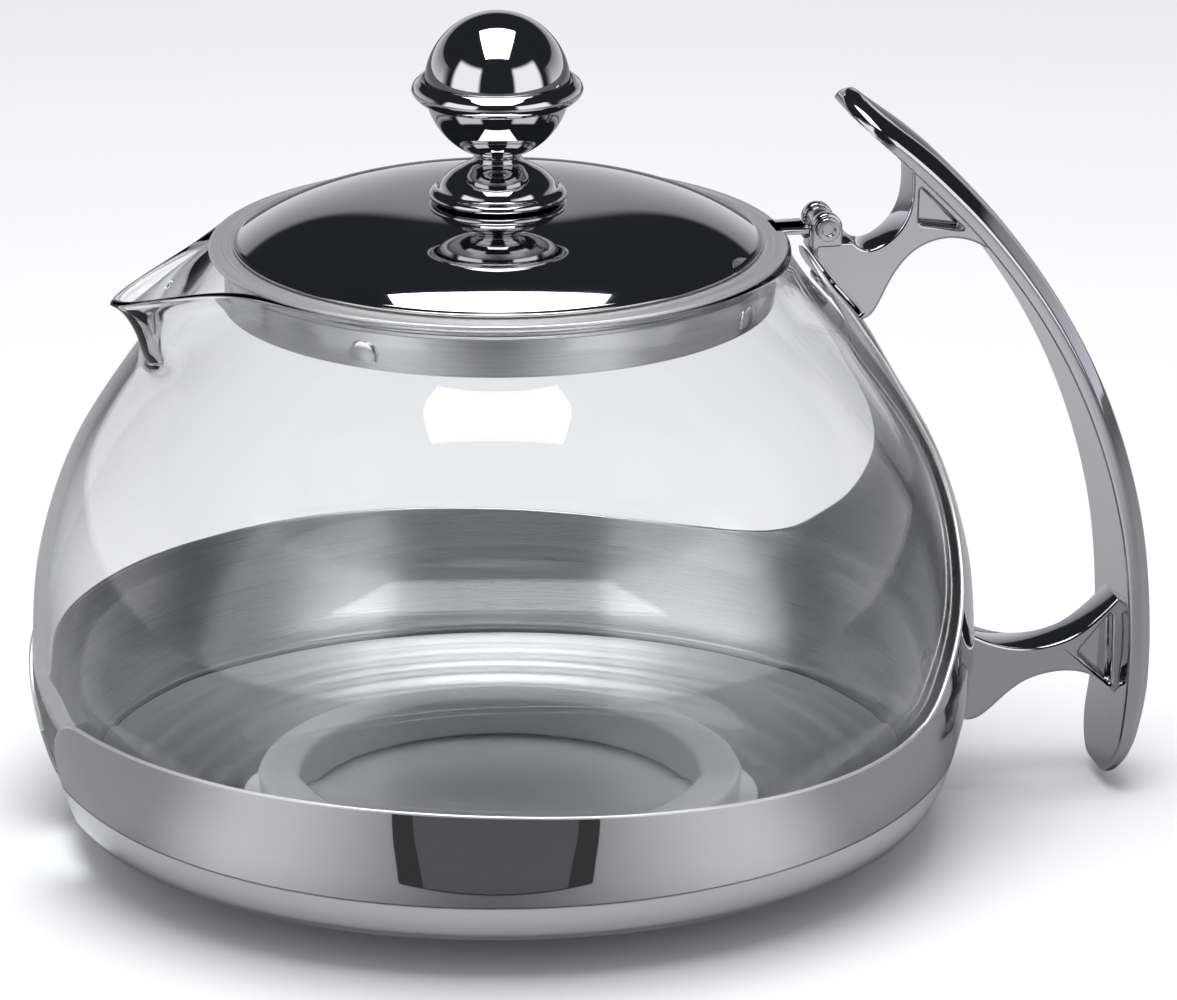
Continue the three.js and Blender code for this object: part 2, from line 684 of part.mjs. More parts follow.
function knobUpperCup() {
  const bottom = BAND_Z + CLEARANCE;
  // an arc from the open edge to the axis
  const arc = (radius) => [0, 0.2, 0.42, 0.64, 0.82, 1].map((t) => {
    const start = Math.asin((bottom - BALL_Z) / radius);
    const angle = THREE.MathUtils.lerp(start, Math.PI / 2, t);
    return [t === 1 ? 0 : radius * Math.cos(angle), BALL_Z + radius * Math.sin(angle)];
  });
  return revolve([...arc(BALL_RADIUS - BALL_SHEET).reverse(), ...arc(BALL_RADIUS)], AROUND_SMALL);
}

function knobBand() {
  const inner = BALL_RADIUS + CLEARANCE;
  return revolve(ring([
    [inner, BAND_Z - BAND_HEIGHT / 2 + 0.7], [inner + 0.5, BAND_Z - BAND_HEIGHT / 2 + 0.8],
    [BAND_RADIUS - 0.3, BAND_Z - 0.7], [BAND_RADIUS, BAND_Z], [BAND_RADIUS - 0.3, BAND_Z + 0.7],
    [inner + 0.5, BAND_Z + BAND_HEIGHT / 2 - 0.8], [inner, BAND_Z + BAND_HEIGHT / 2 - 0.7],
  ]), AROUND_SMALL);
}

// Threaded boss inside the ball that the screw pulls against.
function knobInsert() {
  const bottom = footTopZ + CLEARANCE + 1.9;
  const bore = KNOB_SCREW_RADIUS + CLEARANCE;
  return revolve(ring([
    [bore, bottom], [INSERT_RADIUS, bottom], [INSERT_RADIUS, bottom + INSERT_LENGTH],
    [bore, bottom + INSERT_LENGTH],
  ]), 20);
}

const washerTopZ = domeTopZ - DOME_SHEET - CLEARANCE;

function knobWasher() {
  const bore = KNOB_SCREW_RADIUS + CLEARANCE;
  return revolve(ring([
    [bore, washerTopZ - WASHER_THICKNESS], [WASHER_RADIUS, washerTopZ - WASHER_THICKNESS],
    [WASHER_RADIUS, washerTopZ], [bore, washerTopZ],
  ]), 20);
}

// Comes up from under the dome, through the foot and the lower cup, into the insert.
function knobScrew() {
  const headTop = washerTopZ - WASHER_THICKNESS - CLEARANCE;
  const headBottom = headTop - KNOB_SCREW_HEAD_HEIGHT;
  const head = SCREW_HEAD_RADIUS;
  const body = revolve([
    [0, headBottom], [head - 0.6, headBottom], [head, headBottom + 0.7], [head, headTop],
    [KNOB_SCREW_RADIUS, headTop], [KNOB_SCREW_RADIUS, footTopZ + 5.6], [0, footTopZ + 6.2],
  ], 20);
  return cut(body, boxAt(head * 3, 0.9, 1.6, 0, 0, headBottom));
}

// ---------------------------------------------------------------- assembly

function piece(name, geometry, material) {
  const mesh = new THREE.Mesh(geometry, material);
  mesh.name = name;
  return mesh;
}

const pot = new THREE.Group();
pot.add(
  piece('glass_pot', glassPot(), clearGlass),
  piece('base_shell', baseShell(), mirrorSteel),
  piece('base_pan', basePan(), satinSteel),
  piece('cushion_ring', cushionRing(), silicone),
  piece('handle', handle(), chromedCasting),
  piece('upper_bracket_screw', bracketScrew(UPPER_SCREW_Z, UPPER_SCREW_LENGTH), screwSteel),
  piece('lower_bracket_screw', bracketScrew(LOWER_SCREW_Z, LOWER_SCREW_LENGTH), screwSteel),
  piece('hinge_pin', hingePin(), screwSteel),
);

const lid = new THREE.Group();
lid.add(
  piece('lid_collar', lidCollar(), satinSteel),
  piece('lid_dome', lidDome(), mirrorSteel),
  piece('knob_foot', knobFoot(), mirrorSteel),
  piece('knob_lower_cup', knobLowerCup(), mirrorSteel),
  piece('knob_band', knobBand(), mirrorSteel),
  piece('knob_upper_cup', knobUpperCup(), mirrorSteel),
  piece('knob_insert', knobInsert(), screwSteel),
  piece('knob_screw', knobScrew(), screwSteel),
  piece('knob_washer', knobWasher(), screwSteel),
);

const teapot = new THREE.Group();
teapot.add(pot, lid);
export default teapot;
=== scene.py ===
# %% [markdown]
# # A glass teapot in a steel base
#
# This notebook dresses a teapot whose pieces already exist as a mechanical model: a blown glass
# bowl in a pressed steel shell, a cast handle, and a hinged lid with a ball knob. The model is
# loaded first, as a fixed frame. Every piece made here sits where that frame says and moves with
# one of its two bodies, the pot or the lid.

# %% Load the frame
import math

import bmesh
import bpy
from mathutils import Matrix, Vector


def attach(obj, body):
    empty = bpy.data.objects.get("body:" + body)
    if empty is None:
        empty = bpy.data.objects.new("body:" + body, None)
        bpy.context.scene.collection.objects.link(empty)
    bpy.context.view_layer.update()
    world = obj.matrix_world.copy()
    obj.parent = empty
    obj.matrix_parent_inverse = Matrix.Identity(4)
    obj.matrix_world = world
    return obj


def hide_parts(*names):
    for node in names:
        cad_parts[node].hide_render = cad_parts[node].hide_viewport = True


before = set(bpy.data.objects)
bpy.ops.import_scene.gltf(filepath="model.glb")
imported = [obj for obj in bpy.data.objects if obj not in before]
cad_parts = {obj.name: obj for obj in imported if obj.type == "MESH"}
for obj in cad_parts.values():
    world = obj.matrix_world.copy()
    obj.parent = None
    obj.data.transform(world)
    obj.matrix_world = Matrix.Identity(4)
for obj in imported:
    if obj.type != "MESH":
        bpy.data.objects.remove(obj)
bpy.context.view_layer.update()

# %% [markdown]
# ## Camera
#
# A long lens far away keeps upright things upright, which is how table ware is usually shown. The
# camera looks down by a little over eighteen degrees and stands a little towards the beak. The
# Standard view transform shows pale steel as pale as it is lit.

# %% Camera
bpy.context.scene.view_settings.view_transform = "Standard"
MM = 0.001
ELEVATION = math.radians(18.4)
AZIMUTH = math.radians(-12)
DISTANCE = 1.2
LOOKS_AT = Vector((14.09, -2.99, 55)) * MM
towards_camera = Vector((
    math.sin(AZIMUTH) * math.cos(ELEVATION),
    -math.cos(AZIMUTH) * math.cos(ELEVATION),
    math.sin(ELEVATION),
))
lens = bpy.data.cameras.new("camera")
lens.sensor_width = 36
lens.lens = 227.93
camera = bpy.data.objects.new("camera", lens)
bpy.context.scene.collection.objects.link(camera)
camera.location = LOOKS_AT + DISTANCE * towards_camera
camera.rotation_euler = towards_camera.to_track_quat("Z", "Y").to_euler()
bpy.context.scene.camera = camera
print("camera at", [round(v, 3) for v in camera.location])

# %% [markdown]
# ## Short helpers for node trees
#
# Materials and Geometry Nodes are both node trees. One helper makes a node, sets it up and links
# it, so that the cells below read as recipes.

# %% Node helpers
def node(tree, kind, inputs=None, **settings):
    made = tree.nodes.new(kind)
    for name, value in settings.items():
        setattr(made, name, value)
    for name, value in (inputs or {}).items():
        if isinstance(value, bpy.types.NodeSocket):
            tree.links.new(value, made.inputs[name])
        else:
            made.inputs[name].default_value = value
    return made


def math_node(tree, operation, first, second=0.0):
    return node(tree, "ShaderNodeMath", {0: first, 1: second}, operation=operation).outputs[0]


def new_group(name, inputs, outputs):
    tree = bpy.data.node_groups.new(name, "ShaderNodeTree")
    for label, value in inputs.items():
        kind = "NodeSocketColor" if isinstance(value, tuple) else "NodeSocketFloat"
        tree.interface.new_socket(label, in_out="INPUT", socket_type=kind).default_value = value
    for label, kind in outputs.items():
        tree.interface.new_socket(label, in_out="OUTPUT", socket_type=kind)
    return tree, tree.nodes.new("NodeGroupInput"), tree.nodes.new("NodeGroupOutput")


# %% [markdown]
# ## Effects that several finishes share
#
# Polished metal is never perfect: wiping leaves faint cloudy patches, and polishing leaves a fine
# grain. Brushed metal has lines that run round the pot, because it is brushed while it spins. Each
# effect is a group, built once, that puts out a roughness and a height for bump, and the brushed
# one a colour too.

# %% Polish marks
def polish_marks_group():
    tree, given, out = new_group(
        "polish_marks",
        {"Cloud Size": 30.0, "Smooth": 0.03, "Dull": 0.08},
        {"Roughness": "NodeSocketFloat", "Height": "NodeSocketFloat"},
    )
    where = node(tree, "ShaderNodeTexCoord").outputs["Object"]
    clouds = node(tree, "ShaderNodeTexNoise", {
        "Vector": where, "Scale": given.outputs["Cloud Size"], "Detail": 5.0, "Roughness": 0.6,
    }).outputs["Fac"]
    grain = node(tree, "ShaderNodeTexNoise", {
        "Vector": where, "Scale": 900.0, "Detail": 2.0,
    }).outputs["Fac"]
    mixed = node(tree, "ShaderNodeMapRange", {
        "Value": clouds, "From Min": 0.4, "From Max": 0.72,
        "To Min": given.outputs["Smooth"], "To Max": given.outputs["Dull"],
    }).outputs["Result"]
    tree.links.new(mixed, out.inputs["Roughness"])
    tree.links.new(math_node(tree, "ADD", math_node(tree, "MULTIPLY", grain, 0.1), clouds),
                   out.inputs["Height"])
    return tree


polish_marks = polish_marks_group()


# %% Lines that run round the pot
def brushed_round_group():
    tree, given, out = new_group(
        "brushed_round",
        {"Fineness": 2500.0, "Smooth": 0.2, "Dull": 0.35, "Light": (0.7, 0.7, 0.7, 1.0),
         "Dark": (0.55, 0.55, 0.55, 1.0)},
        {"Color": "NodeSocketColor", "Roughness": "NodeSocketFloat", "Height": "NodeSocketFloat"},
    )
    where = node(tree, "ShaderNodeTexCoord").outputs["Object"]
    apart = node(tree, "ShaderNodeSeparateXYZ", {"Vector": where}).outputs
    radius = math_node(tree, "SQRT", math_node(
        tree, "ADD", math_node(tree, "MULTIPLY", apart["X"], apart["X"]),
        math_node(tree, "MULTIPLY", apart["Y"], apart["Y"])))
    turn = math_node(tree, "ARCTAN2", apart["Y"], apart["X"])
    # sine and cosine of the angle meet themselves after one turn, so the lines show no seam
    along = node(tree, "ShaderNodeCombineXYZ", {
        "X": math_node(tree, "MULTIPLY", math_node(tree, "COSINE", turn), 1.2),
        "Y": math_node(tree, "MULTIPLY", math_node(tree, "SINE", turn), 1.2),
        "Z": math_node(tree, "MULTIPLY", math_node(tree, "ADD", radius, apart["Z"]),
                       given.outputs["Fineness"]),
    }).outputs[0]
    lines = node(tree, "ShaderNodeTexNoise", {
        "Vector": along, "Scale": 1.0, "Detail": 4.0, "Roughness": 0.65,
    }).outputs["Fac"]
    tint = node(tree, "ShaderNodeMix", {
        "Factor": lines, 6: given.outputs["Dark"], 7: given.outputs["Light"],
    }, data_type="RGBA").outputs[2]
    rough = node(tree, "ShaderNodeMapRange", {
        "Value": lines, "From Min": 0.3, "From Max": 0.7,
        "To Min": given.outputs["Smooth"], "To Max": given.outputs["Dull"],
    }).outputs["Result"]
    tree.links.new(tint, out.inputs["Color"])
    tree.links.new(rough, out.inputs["Roughness"])
    tree.links.new(lines, out.inputs["Height"])
    return tree


brushed_round = brushed_round_group()

# %% [markdown]
# ## Finishes
#
# All metals here are a Principled shader with Metallic at one; what tells them apart is their
# colour and how the groups above drive roughness and bump. Glass keeps plain numbers for its
# colour, its index and how much it lets through. Lamps shine through it by a Light Path switch,
# because glass that throws a solid shadow would leave the steel behind it black.

# %% Metal finishes
def new_material(name):
    material = bpy.data.materials.new(name)
    material.use_nodes = True
    tree = material.node_tree
    return material, tree, tree.nodes["Principled BSDF"], tree.nodes["Material Output"]


def bump_from(tree, height, strength, depth):
    return node(tree, "ShaderNodeBump", {
        "Height": height, "Strength": strength, "Distance": depth,
    }).outputs["Normal"]


def polished(name, color, cloud_size, smooth, dull, bump, depth):
    material, tree, shader, _ = new_material(name)
    marks = node(tree, "ShaderNodeGroup", node_tree=polish_marks)
    marks.inputs["Cloud Size"].default_value = cloud_size
    marks.inputs["Smooth"].default_value = smooth
    marks.inputs["Dull"].default_value = dull
    shader.inputs["Base Color"].default_value = (*color, 1)
    shader.inputs["Metallic"].default_value = 1
    tree.links.new(marks.outputs["Roughness"], shader.inputs["Roughness"])
    tree.links.new(bump_from(tree, marks.outputs["Height"], bump, depth), shader.inputs["Normal"])
    return material


def brushed(name, light, dark, fineness, smooth, dull, bump, anisotropy):
    material, tree, shader, _ = new_material(name)
    lines = node(tree, "ShaderNodeGroup", node_tree=brushed_round)
    for label, value in {"Fineness": fineness, "Smooth": smooth, "Dull": dull,
                         "Light": (*light, 1), "Dark": (*dark, 1)}.items():
        lines.inputs[label].default_value = value
    shader.inputs["Metallic"].default_value = 1
    shader.inputs["Anisotropic"].default_value = anisotropy
    # light spreads across the lines, not along them
    shader.inputs["Anisotropic Rotation"].default_value = 0.25
    tree.links.new(lines.outputs["Color"], shader.inputs["Base Color"])
    tree.links.new(lines.outputs["Roughness"], shader.inputs["Roughness"])
    tree.links.new(bump_from(tree, lines.outputs["Height"], bump, 0.0001), shader.inputs["Normal"])
    tree.links.new(node(tree, "ShaderNodeTangent", direction_type="RADIAL", axis="Z").outputs[0],
                   shader.inputs["Tangent"])
    return material


mirror_steel = polished("mirror_steel", (0.61, 0.61, 0.62), 35, 0.02, 0.06, 0.03, 0.0002)
chromed_casting = polished("chromed_casting", (0.58, 0.58, 0.60), 60, 0.03, 0.09, 0.10, 0.0003)
screw_steel = polished("screw_steel", (0.58, 0.58, 0.59), 200, 0.12, 0.3, 0.08, 0.0001)
satin_inside = brushed("satin_inside", (0.92, 0.92, 0.91), (0.80, 0.80, 0.79), 5200, 0.24, 0.36,
                       0.05, 0.5)
satin_skirt = brushed("satin_skirt", (0.96, 0.96, 0.96), (0.78, 0.78, 0.78), 3000, 0.12, 0.22,
                      0.08, 0.6)
satin_rim = brushed("satin_rim", (0.97, 0.97, 0.97), (0.86, 0.86, 0.86), 3000, 0.42, 0.56,
                    0.06, 0.2)
satin_pan = brushed("satin_pan", (0.82, 0.82, 0.82), (0.70, 0.70, 0.70), 4000, 0.30, 0.42,
                    0.06, 0.3)
blasted_pan = brushed("blasted_pan", (0.95, 0.95, 0.95), (0.86, 0.86, 0.86), 1500, 0.6, 0.75,
                      0.05, 0.0)

# %% Glass and silicone
def clear_glass_material():
    material, tree, shader, output = new_material("clear_glass")
    shader.inputs["Base Color"].default_value = (0.945, 0.948, 0.955, 1)
    shader.inputs["Transmission Weight"].default_value = 1
    shader.inputs["IOR"].default_value = 1.47
    where = node(tree, "ShaderNodeTexCoord").outputs["Object"]
    # blown glass is never quite even: broad, very shallow waves
    waves = node(tree, "ShaderNodeTexNoise", {"Vector": where, "Scale": 22.0, "Detail": 1.0})
    tree.links.new(bump_from(tree, waves.outputs["Fac"], 0.06, 0.0006), shader.inputs["Normal"])
    film = node(tree, "ShaderNodeTexNoise", {"Vector": where, "Scale": 60.0, "Detail": 6.0})
    rough = node(tree, "ShaderNodeMapRange", {
        "Value": film.outputs["Fac"], "From Min": 0.62, "From Max": 0.85,
        "To Min": 0.0, "To Max": 0.02,
    })
    tree.links.new(rough.outputs["Result"], shader.inputs["Roughness"])
    lamp_ray = node(tree, "ShaderNodeLightPath").outputs["Is Shadow Ray"]
    through = node(tree, "ShaderNodeBsdfTransparent", {"Color": (0.95, 0.96, 0.96, 1)})
    mixed = node(tree, "ShaderNodeMixShader", {
        0: lamp_ray, 1: shader.outputs[0], 2: through.outputs[0],
    })
    tree.links.new(mixed.outputs[0], output.inputs["Surface"])
    return material


def silicone_material():
    material, tree, shader, _ = new_material("silicone")
    where = node(tree, "ShaderNodeTexCoord").outputs["Object"]
    dust = node(tree, "ShaderNodeTexNoise", {"Vector": where, "Scale": 400.0, "Detail": 4.0})
    tint = node(tree, "ShaderNodeMapRange", {
        "Value": dust.outputs["Fac"], "To Min": 0.48, "To Max": 0.60,
    }).outputs["Result"]
    tree.links.new(tint, shader.inputs["Base Color"])
    shader.inputs["Roughness"].default_value = 0.6
    tree.links.new(bump_from(tree, dust.outputs["Fac"], 0.15, 0.0001), shader.inputs["Normal"])
    return material


clear_glass = clear_glass_material()
silicone = silicone_material()
print("materials", len(bpy.data.materials))

# %% [markdown]
# ## Curves through points
#
# The pot's outlines run smoothly through a few chosen points. A Catmull-Rom curve does that. The
# even kind serves the glass, and the centripetal kind, which doesn't overshoot, serves the grip.

# %% Curves
class Curve:
    """A smooth curve through points in a plane; power 0 is even, 0.5 is centripetal."""

    def __init__(self, points, power=0.0):
        self.points = [Vector(p) for p in points]
        self.power = power

    def at(self, share):
        points, last = self.points, len(self.points) - 1
        place = min(max(share, 0), 1) * last
        i = min(int(place), last - 1)
        t = place - i
        b, c = points[i], points[i + 1]
        end = self.power == 0
        a = points[i - 1] if i else (b if end else 2 * b - c)
        d = points[i + 2] if i + 2 <= last else (c if end else 2 * c - b)
        d0, d1, d2 = [max((q - p).length, 1e-9) ** self.power for p, q in ((a, b), (b, c), (c, d))]
        m1 = ((b - a) / d0 - (c - a) / (d0 + d1) + (c - b) / d1) * d1
        m2 = ((c - b) / d1 - (d - b) / (d1 + d2) + (d - c) / d2) * d1
        return (2 * t**3 - 3 * t**2 + 1) * b + (t**3 - 2 * t**2 + t) * m1 \
            + (3 * t**2 - 2 * t**3) * c + (t**3 - t**2) * m2

    def sampled(self, steps):
        return [self.at(i / steps) for i in range(steps + 1)]

    def other_at(self, value, axis):
        """The other coordinate where this one rises through value."""
        low, high = 0.0, 1.0
        for _ in range(34):
            middle = (low + high) / 2
            if self.at(middle)[axis] < value:
                low = middle
            else:
                high = middle
        return self.at(low)[1 - axis]


def smooth_step(value, start, end):
    t = min(max((value - start) / (end - start), 0), 1)
    return t * t * (3 - 2 * t)


def bezier(*corners, steps=14):
    """Points of a quadratic or cubic Bezier curve, without its first point."""
    found = []
    for i in range(1, steps + 1):
        level = [Vector(c) for c in corners]
        while len(level) > 1:
            level = [p.lerp(q, i / steps) for p, q in zip(level, level[1:])]
        found.append(level[0])
    return found


def softened(points, radius, closed=False, steps=4):
    """The same outline with small arcs for its corners, and a point held on each side of them."""
    points = [Vector(p) for p in points]
    count = len(points)
    found = []
    for i, corner in enumerate(points):
        if not closed and i in (0, count - 1):
            found.append(corner)
            continue
        before, after = points[i - 1], points[(i + 1) % count]
        turn = (corner - before).angle(after - corner, 0)
        if turn < math.radians(16):
            found.append(corner)
            continue
        one = min(radius, 0.33 * (corner - before).length)
        two = min(radius, 0.33 * (after - corner).length)
        start = corner + (before - corner).normalized() * one
        stop = corner + (after - corner).normalized() * two
        found.append(corner + (before - corner).normalized() * one * 1.4)
        found += [start, *bezier(start, corner, stop, steps=steps)]
        found.append(corner + (after - corner).normalized() * two * 1.4)
    return found


# %% [markdown]
# ## A Geometry Nodes tree that turns a profile
#
# Most pieces of a teapot are spun or turned, so their shape follows one rule: a profile goes round
# the axis. The tree reads the profile's points, lays a grid with one row for each, and moves every
# grid point to its place on the turn. Points that meet, on the axis and where the turn closes, are
# merged. The number of columns and the finish are inputs.

# %% The turning tree
# points closer together than this are one point, in metres
MEETS = 0.000002


def turning_tree():
    tree = bpy.data.node_groups.new("turned_piece", "GeometryNodeTree")
    for label, kind in (("Profile", "Geometry"), ("Columns", "Int"), ("Finish", "Material")):
        tree.interface.new_socket(label, in_out="INPUT", socket_type="NodeSocket" + kind)
    tree.interface.new_socket("Piece", in_out="OUTPUT", socket_type="NodeSocketGeometry")
    given, out = node(tree, "NodeGroupInput"), node(tree, "NodeGroupOutput")
    rows = node(tree, "GeometryNodeAttributeDomainSize", {"Geometry": given.outputs["Profile"]},
                component="MESH").outputs["Point Count"]
    across = math_node(tree, "ADD", given.outputs["Columns"], 1.0)
    grid = node(tree, "GeometryNodeMeshGrid", {"Vertices X": rows, "Vertices Y": across})
    index = node(tree, "GeometryNodeInputIndex").outputs[0]
    row = math_node(tree, "FLOOR", math_node(
        tree, "DIVIDE", math_node(tree, "ADD", index, 0.5), across))
    column = math_node(tree, "SUBTRACT", index, math_node(tree, "MULTIPLY", row, across))
    angle = math_node(tree, "DIVIDE", math_node(tree, "MULTIPLY", column, math.tau),
                      given.outputs["Columns"])
    place = node(tree, "GeometryNodeSampleIndex", {
        "Geometry": given.outputs["Profile"], "Index": row,
    }, data_type="FLOAT_VECTOR", domain="POINT")
    tree.links.new(node(tree, "GeometryNodeInputPosition").outputs[0], place.inputs["Value"])
    apart = node(tree, "ShaderNodeSeparateXYZ", {"Vector": place.outputs["Value"]}).outputs
    turned = node(tree, "ShaderNodeCombineXYZ", {
        "X": math_node(tree, "MULTIPLY", apart["X"], math_node(tree, "COSINE", angle)),
        "Y": math_node(tree, "MULTIPLY", apart["X"], math_node(tree, "SINE", angle)),
        "Z": apart["Z"],
    }).outputs[0]
    moved = node(tree, "GeometryNodeSetPosition", {
        "Geometry": grid.outputs["Mesh"], "Position": turned,
    })
    merged = node(tree, "GeometryNodeMergeByDistance", {
        "Geometry": moved.outputs[0], "Distance": MEETS,
    })
    soft = node(tree, "GeometryNodeSetShadeSmooth", {"Geometry": merged.outputs[0]})
    real = node(tree, "GeometryNodeRealizeInstances", {"Geometry": soft.outputs[0]})
    dressed = node(tree, "GeometryNodeSetMaterial", {
        "Geometry": real.outputs[0], "Material": given.outputs["Finish"],
    })
    tree.links.new(dressed.outputs[0], out.inputs[0])
    return tree


turned_piece = turning_tree()


# %% From a tree to a plain mesh
def through_tree(name, start, tree, inputs):
    """Runs a Geometry Nodes tree on a mesh and keeps the result as a plain mesh."""
    made = bpy.data.objects.new(name, start)
    bpy.context.scene.collection.objects.link(made)
    modifier = made.modifiers.new("nodes", "NODES")
    modifier.node_group = tree
    sockets = {s.name: s.identifier for s in tree.interface.items_tree if s.in_out == "INPUT"}
    for label, value in inputs.items():
        modifier[sockets[label]] = value
    graph = bpy.context.evaluated_depsgraph_get()
    mesh = bpy.data.meshes.new_from_object(made.evaluated_get(graph), depsgraph=graph)
    made.modifiers.remove(modifier)
    made.data = mesh
    mesh.name = name
    return made


def outward(made):
    """Merges doubles and turns every face outwards."""
    work = bmesh.new()
    work.from_mesh(made.data)
    bmesh.ops.remove_doubles(work, verts=work.verts, dist=MEETS)
    bmesh.ops.recalc_face_normals(work, faces=work.faces)
    open_edges = sum(not e.is_manifold for e in work.edges)
    work.to_mesh(made.data)
    work.free()
    print(f"{made.name}: {len(made.data.polygons)} faces, {open_edges} open edges")
    return made


def turned(name, profile, finish, columns=128):
    """A turned piece from a profile in millimetres, radius first."""
    start = bpy.data.meshes.new(name + "_profile")
    start.from_pydata([(p[0] * MM, 0, p[1] * MM) for p in profile], [], [])
    return outward(through_tree(name, start, turned_piece, {"Columns": columns, "Finish": finish}))


def belongs(made, body, slot, *nodes):
    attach(made, body)
    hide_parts(*nodes)


def refinished(made, finish, chosen):
    """Gives another finish to the faces whose middle, in millimetres, is chosen."""
    made.data.materials.append(finish)
    for face in made.data.polygons:
        middle = face.center / MM
        if chosen(math.hypot(middle.x, middle.y), middle.z):
            face.material_index = len(made.data.materials) - 1
    return made


def closed(profile):
    return [*profile, profile[0]]


# %% [markdown]
# ## Glass bowl
#
# The bowl is blown into a mould: a flat floor, a round belly and a short neck. It is a turned
# profile, outside and inside, one wall thickness apart. Then the columns are crowded on the beak
# side, and the rim there is pulled out and down, as a glass blower does with a hot rim.

# %% Glass outline
WALL, FLOOR_Z, FLOOR_RADIUS = 2.1, 8, 41
BELLY_RADIUS, BELLY_Z, NECK_RADIUS, RIM_Z = 75.5, 32, 46.7, 97.2
BOWL_POWER = 2 / 2.15
shoulder = Curve([
    (BELLY_RADIUS, BELLY_Z), (74.2, 47), (68.6, 64), (57.6, 81), (50.7, 89.5),
    (NECK_RADIUS + 0.6, 94.6), (NECK_RADIUS, RIM_Z),
])


def bowl_point(share):
    angle = share * math.pi / 2
    return Vector((
        FLOOR_RADIUS + (BELLY_RADIUS - FLOOR_RADIUS) * max(math.sin(angle), 0) ** BOWL_POWER,
        BELLY_Z - (BELLY_Z - FLOOR_Z) * max(math.cos(angle), 0) ** BOWL_POWER,
    ))


def glass_profile():
    floor = [Vector((r, FLOOR_Z)) for r in (0, 8, 16, 24, 32, 37)]
    outside = floor + [bowl_point(i / 30) for i in range(30)] + shoulder.sampled(60)
    inside = []
    for i in range(1, len(outside) - 1):
        along = (outside[i + 1] - outside[i - 1]).normalized()
        inside.append(outside[i] - WALL * Vector((along.y, -along.x)))
    lip = [Vector((NECK_RADIUS - WALL / 2 + WALL / 2 * math.cos(a), RIM_Z + 0.7 * math.sin(a)))
           for a in [math.pi * i / 10 for i in range(1, 11)]]
    return outside + lip + inside[::-1] + [Vector((0, FLOOR_Z + WALL))]


# %% The beak
BEAK_REACH, BEAK_DROP, BEAK_START_Z, BEAK_ANGLE = 15.8, 5.4, 82, 12
CROWDING = 0.55


def pull_beak(made):
    for vertex in made.data.vertices:
        x, y, z = vertex.co / MM
        radius, away = math.hypot(x, y), math.atan2(y, -x)
        away -= CROWDING * math.sin(away)
        height = min(max((z - BEAK_START_Z) / (RIM_Z - BEAK_START_Z), 0), 1)
        if radius > 1:
            spread = BEAK_ANGLE * (0.7 + 0.3 * height)
            pull = height * math.exp(-((abs(math.degrees(away)) / spread) ** 1.6))
            radius += BEAK_REACH * pull
            z -= BEAK_DROP * pull
        vertex.co = Vector((-radius * math.cos(away), radius * math.sin(away), z)) * MM


glass_pot = turned("glass_pot_blown", glass_profile(), clear_glass, columns=220)
pull_beak(glass_pot)
belongs(glass_pot, "pot", "clear_glass", "glass_pot")

# %% [markdown]
# ## Base shell and strap
#
# One pressed sheet wraps the bowl like a C and rises into a strap behind the handle. It is lofted
# in columns: each runs up the outside from the seam to the sheet's upper edge and down the inside.
# The outside faces take the mirror finish and the inside faces the satin one, as on a bowl that is
# polished only where it is seen. The top edge and a narrow band below it are ground duller.

# %% The shell's outline
SHEET, SHELL_GAP, STRAP_GAP, SHELL_RIM_Z, SEAM_Z, SEAM_RADIUS = 0.7, 0.5, 0.65, 30, 6.9, 70
NOTCH_HALF_ANGLE, NOTCH_CORNER, NOTCH_DEPTH = 8.7, 10.5, 13
STRAP_TOP_Z = 94.2
wall_curve = Curve([
    (SEAM_RADIUS - 0.6, SEAM_Z), (71.6, 10.2), (73.6, 16), (75.2, 23),
    (BELLY_RADIUS + SHELL_GAP, SHELL_RIM_Z),
])
upper_edge = Curve([
    (-4, STRAP_TOP_Z - 0.6), (0, STRAP_TOP_Z), (4, STRAP_TOP_Z - 0.6), (7.5, STRAP_TOP_Z - 2.6),
    (9.6, STRAP_TOP_Z - 6), (11, 78), (12.6, 66), (16.2, 56), (21.7, 47.6), (26.7, 41),
    (31.6, 36.2), (36.6, 32), (42, 29.4), (50, 28), (62, 27.6), (80, 28.4), (105, 29.7),
    (130, SHELL_RIM_Z), (180, SHELL_RIM_Z),
], power=0.5)


def wall_radius(z):
    """Inside radius of the shell at a height."""
    if z < SHELL_RIM_Z:
        return wall_curve.other_at(z, 1)
    lift = 1.5 * smooth_step(z, 70, 84)
    return shoulder.other_at(max(z, BELLY_Z), 1) + STRAP_GAP + lift


def outer_radius(z):
    slope = (wall_radius(z + 0.2) - wall_radius(z - 0.2)) / 0.4
    return wall_radius(z) + SHEET * math.hypot(1, slope)


def edge_height(angle):
    corner = 180 - NOTCH_HALF_ANGLE - NOTCH_CORNER
    if angle > corner:
        t = min((angle - corner) / NOTCH_CORNER, 1)
        return SHELL_RIM_Z - NOTCH_DEPTH * (1 - math.sqrt(max(1 - t * t, 0)))
    return upper_edge.other_at(angle, 0)


# %% Loft the shell
SHELL_ROWS = 26
radius_table = {}


def radii(z):
    key = round(z, 2)
    if key not in radius_table:
        radius_table[key] = (wall_radius(key), outer_radius(key))
    return radius_table[key]


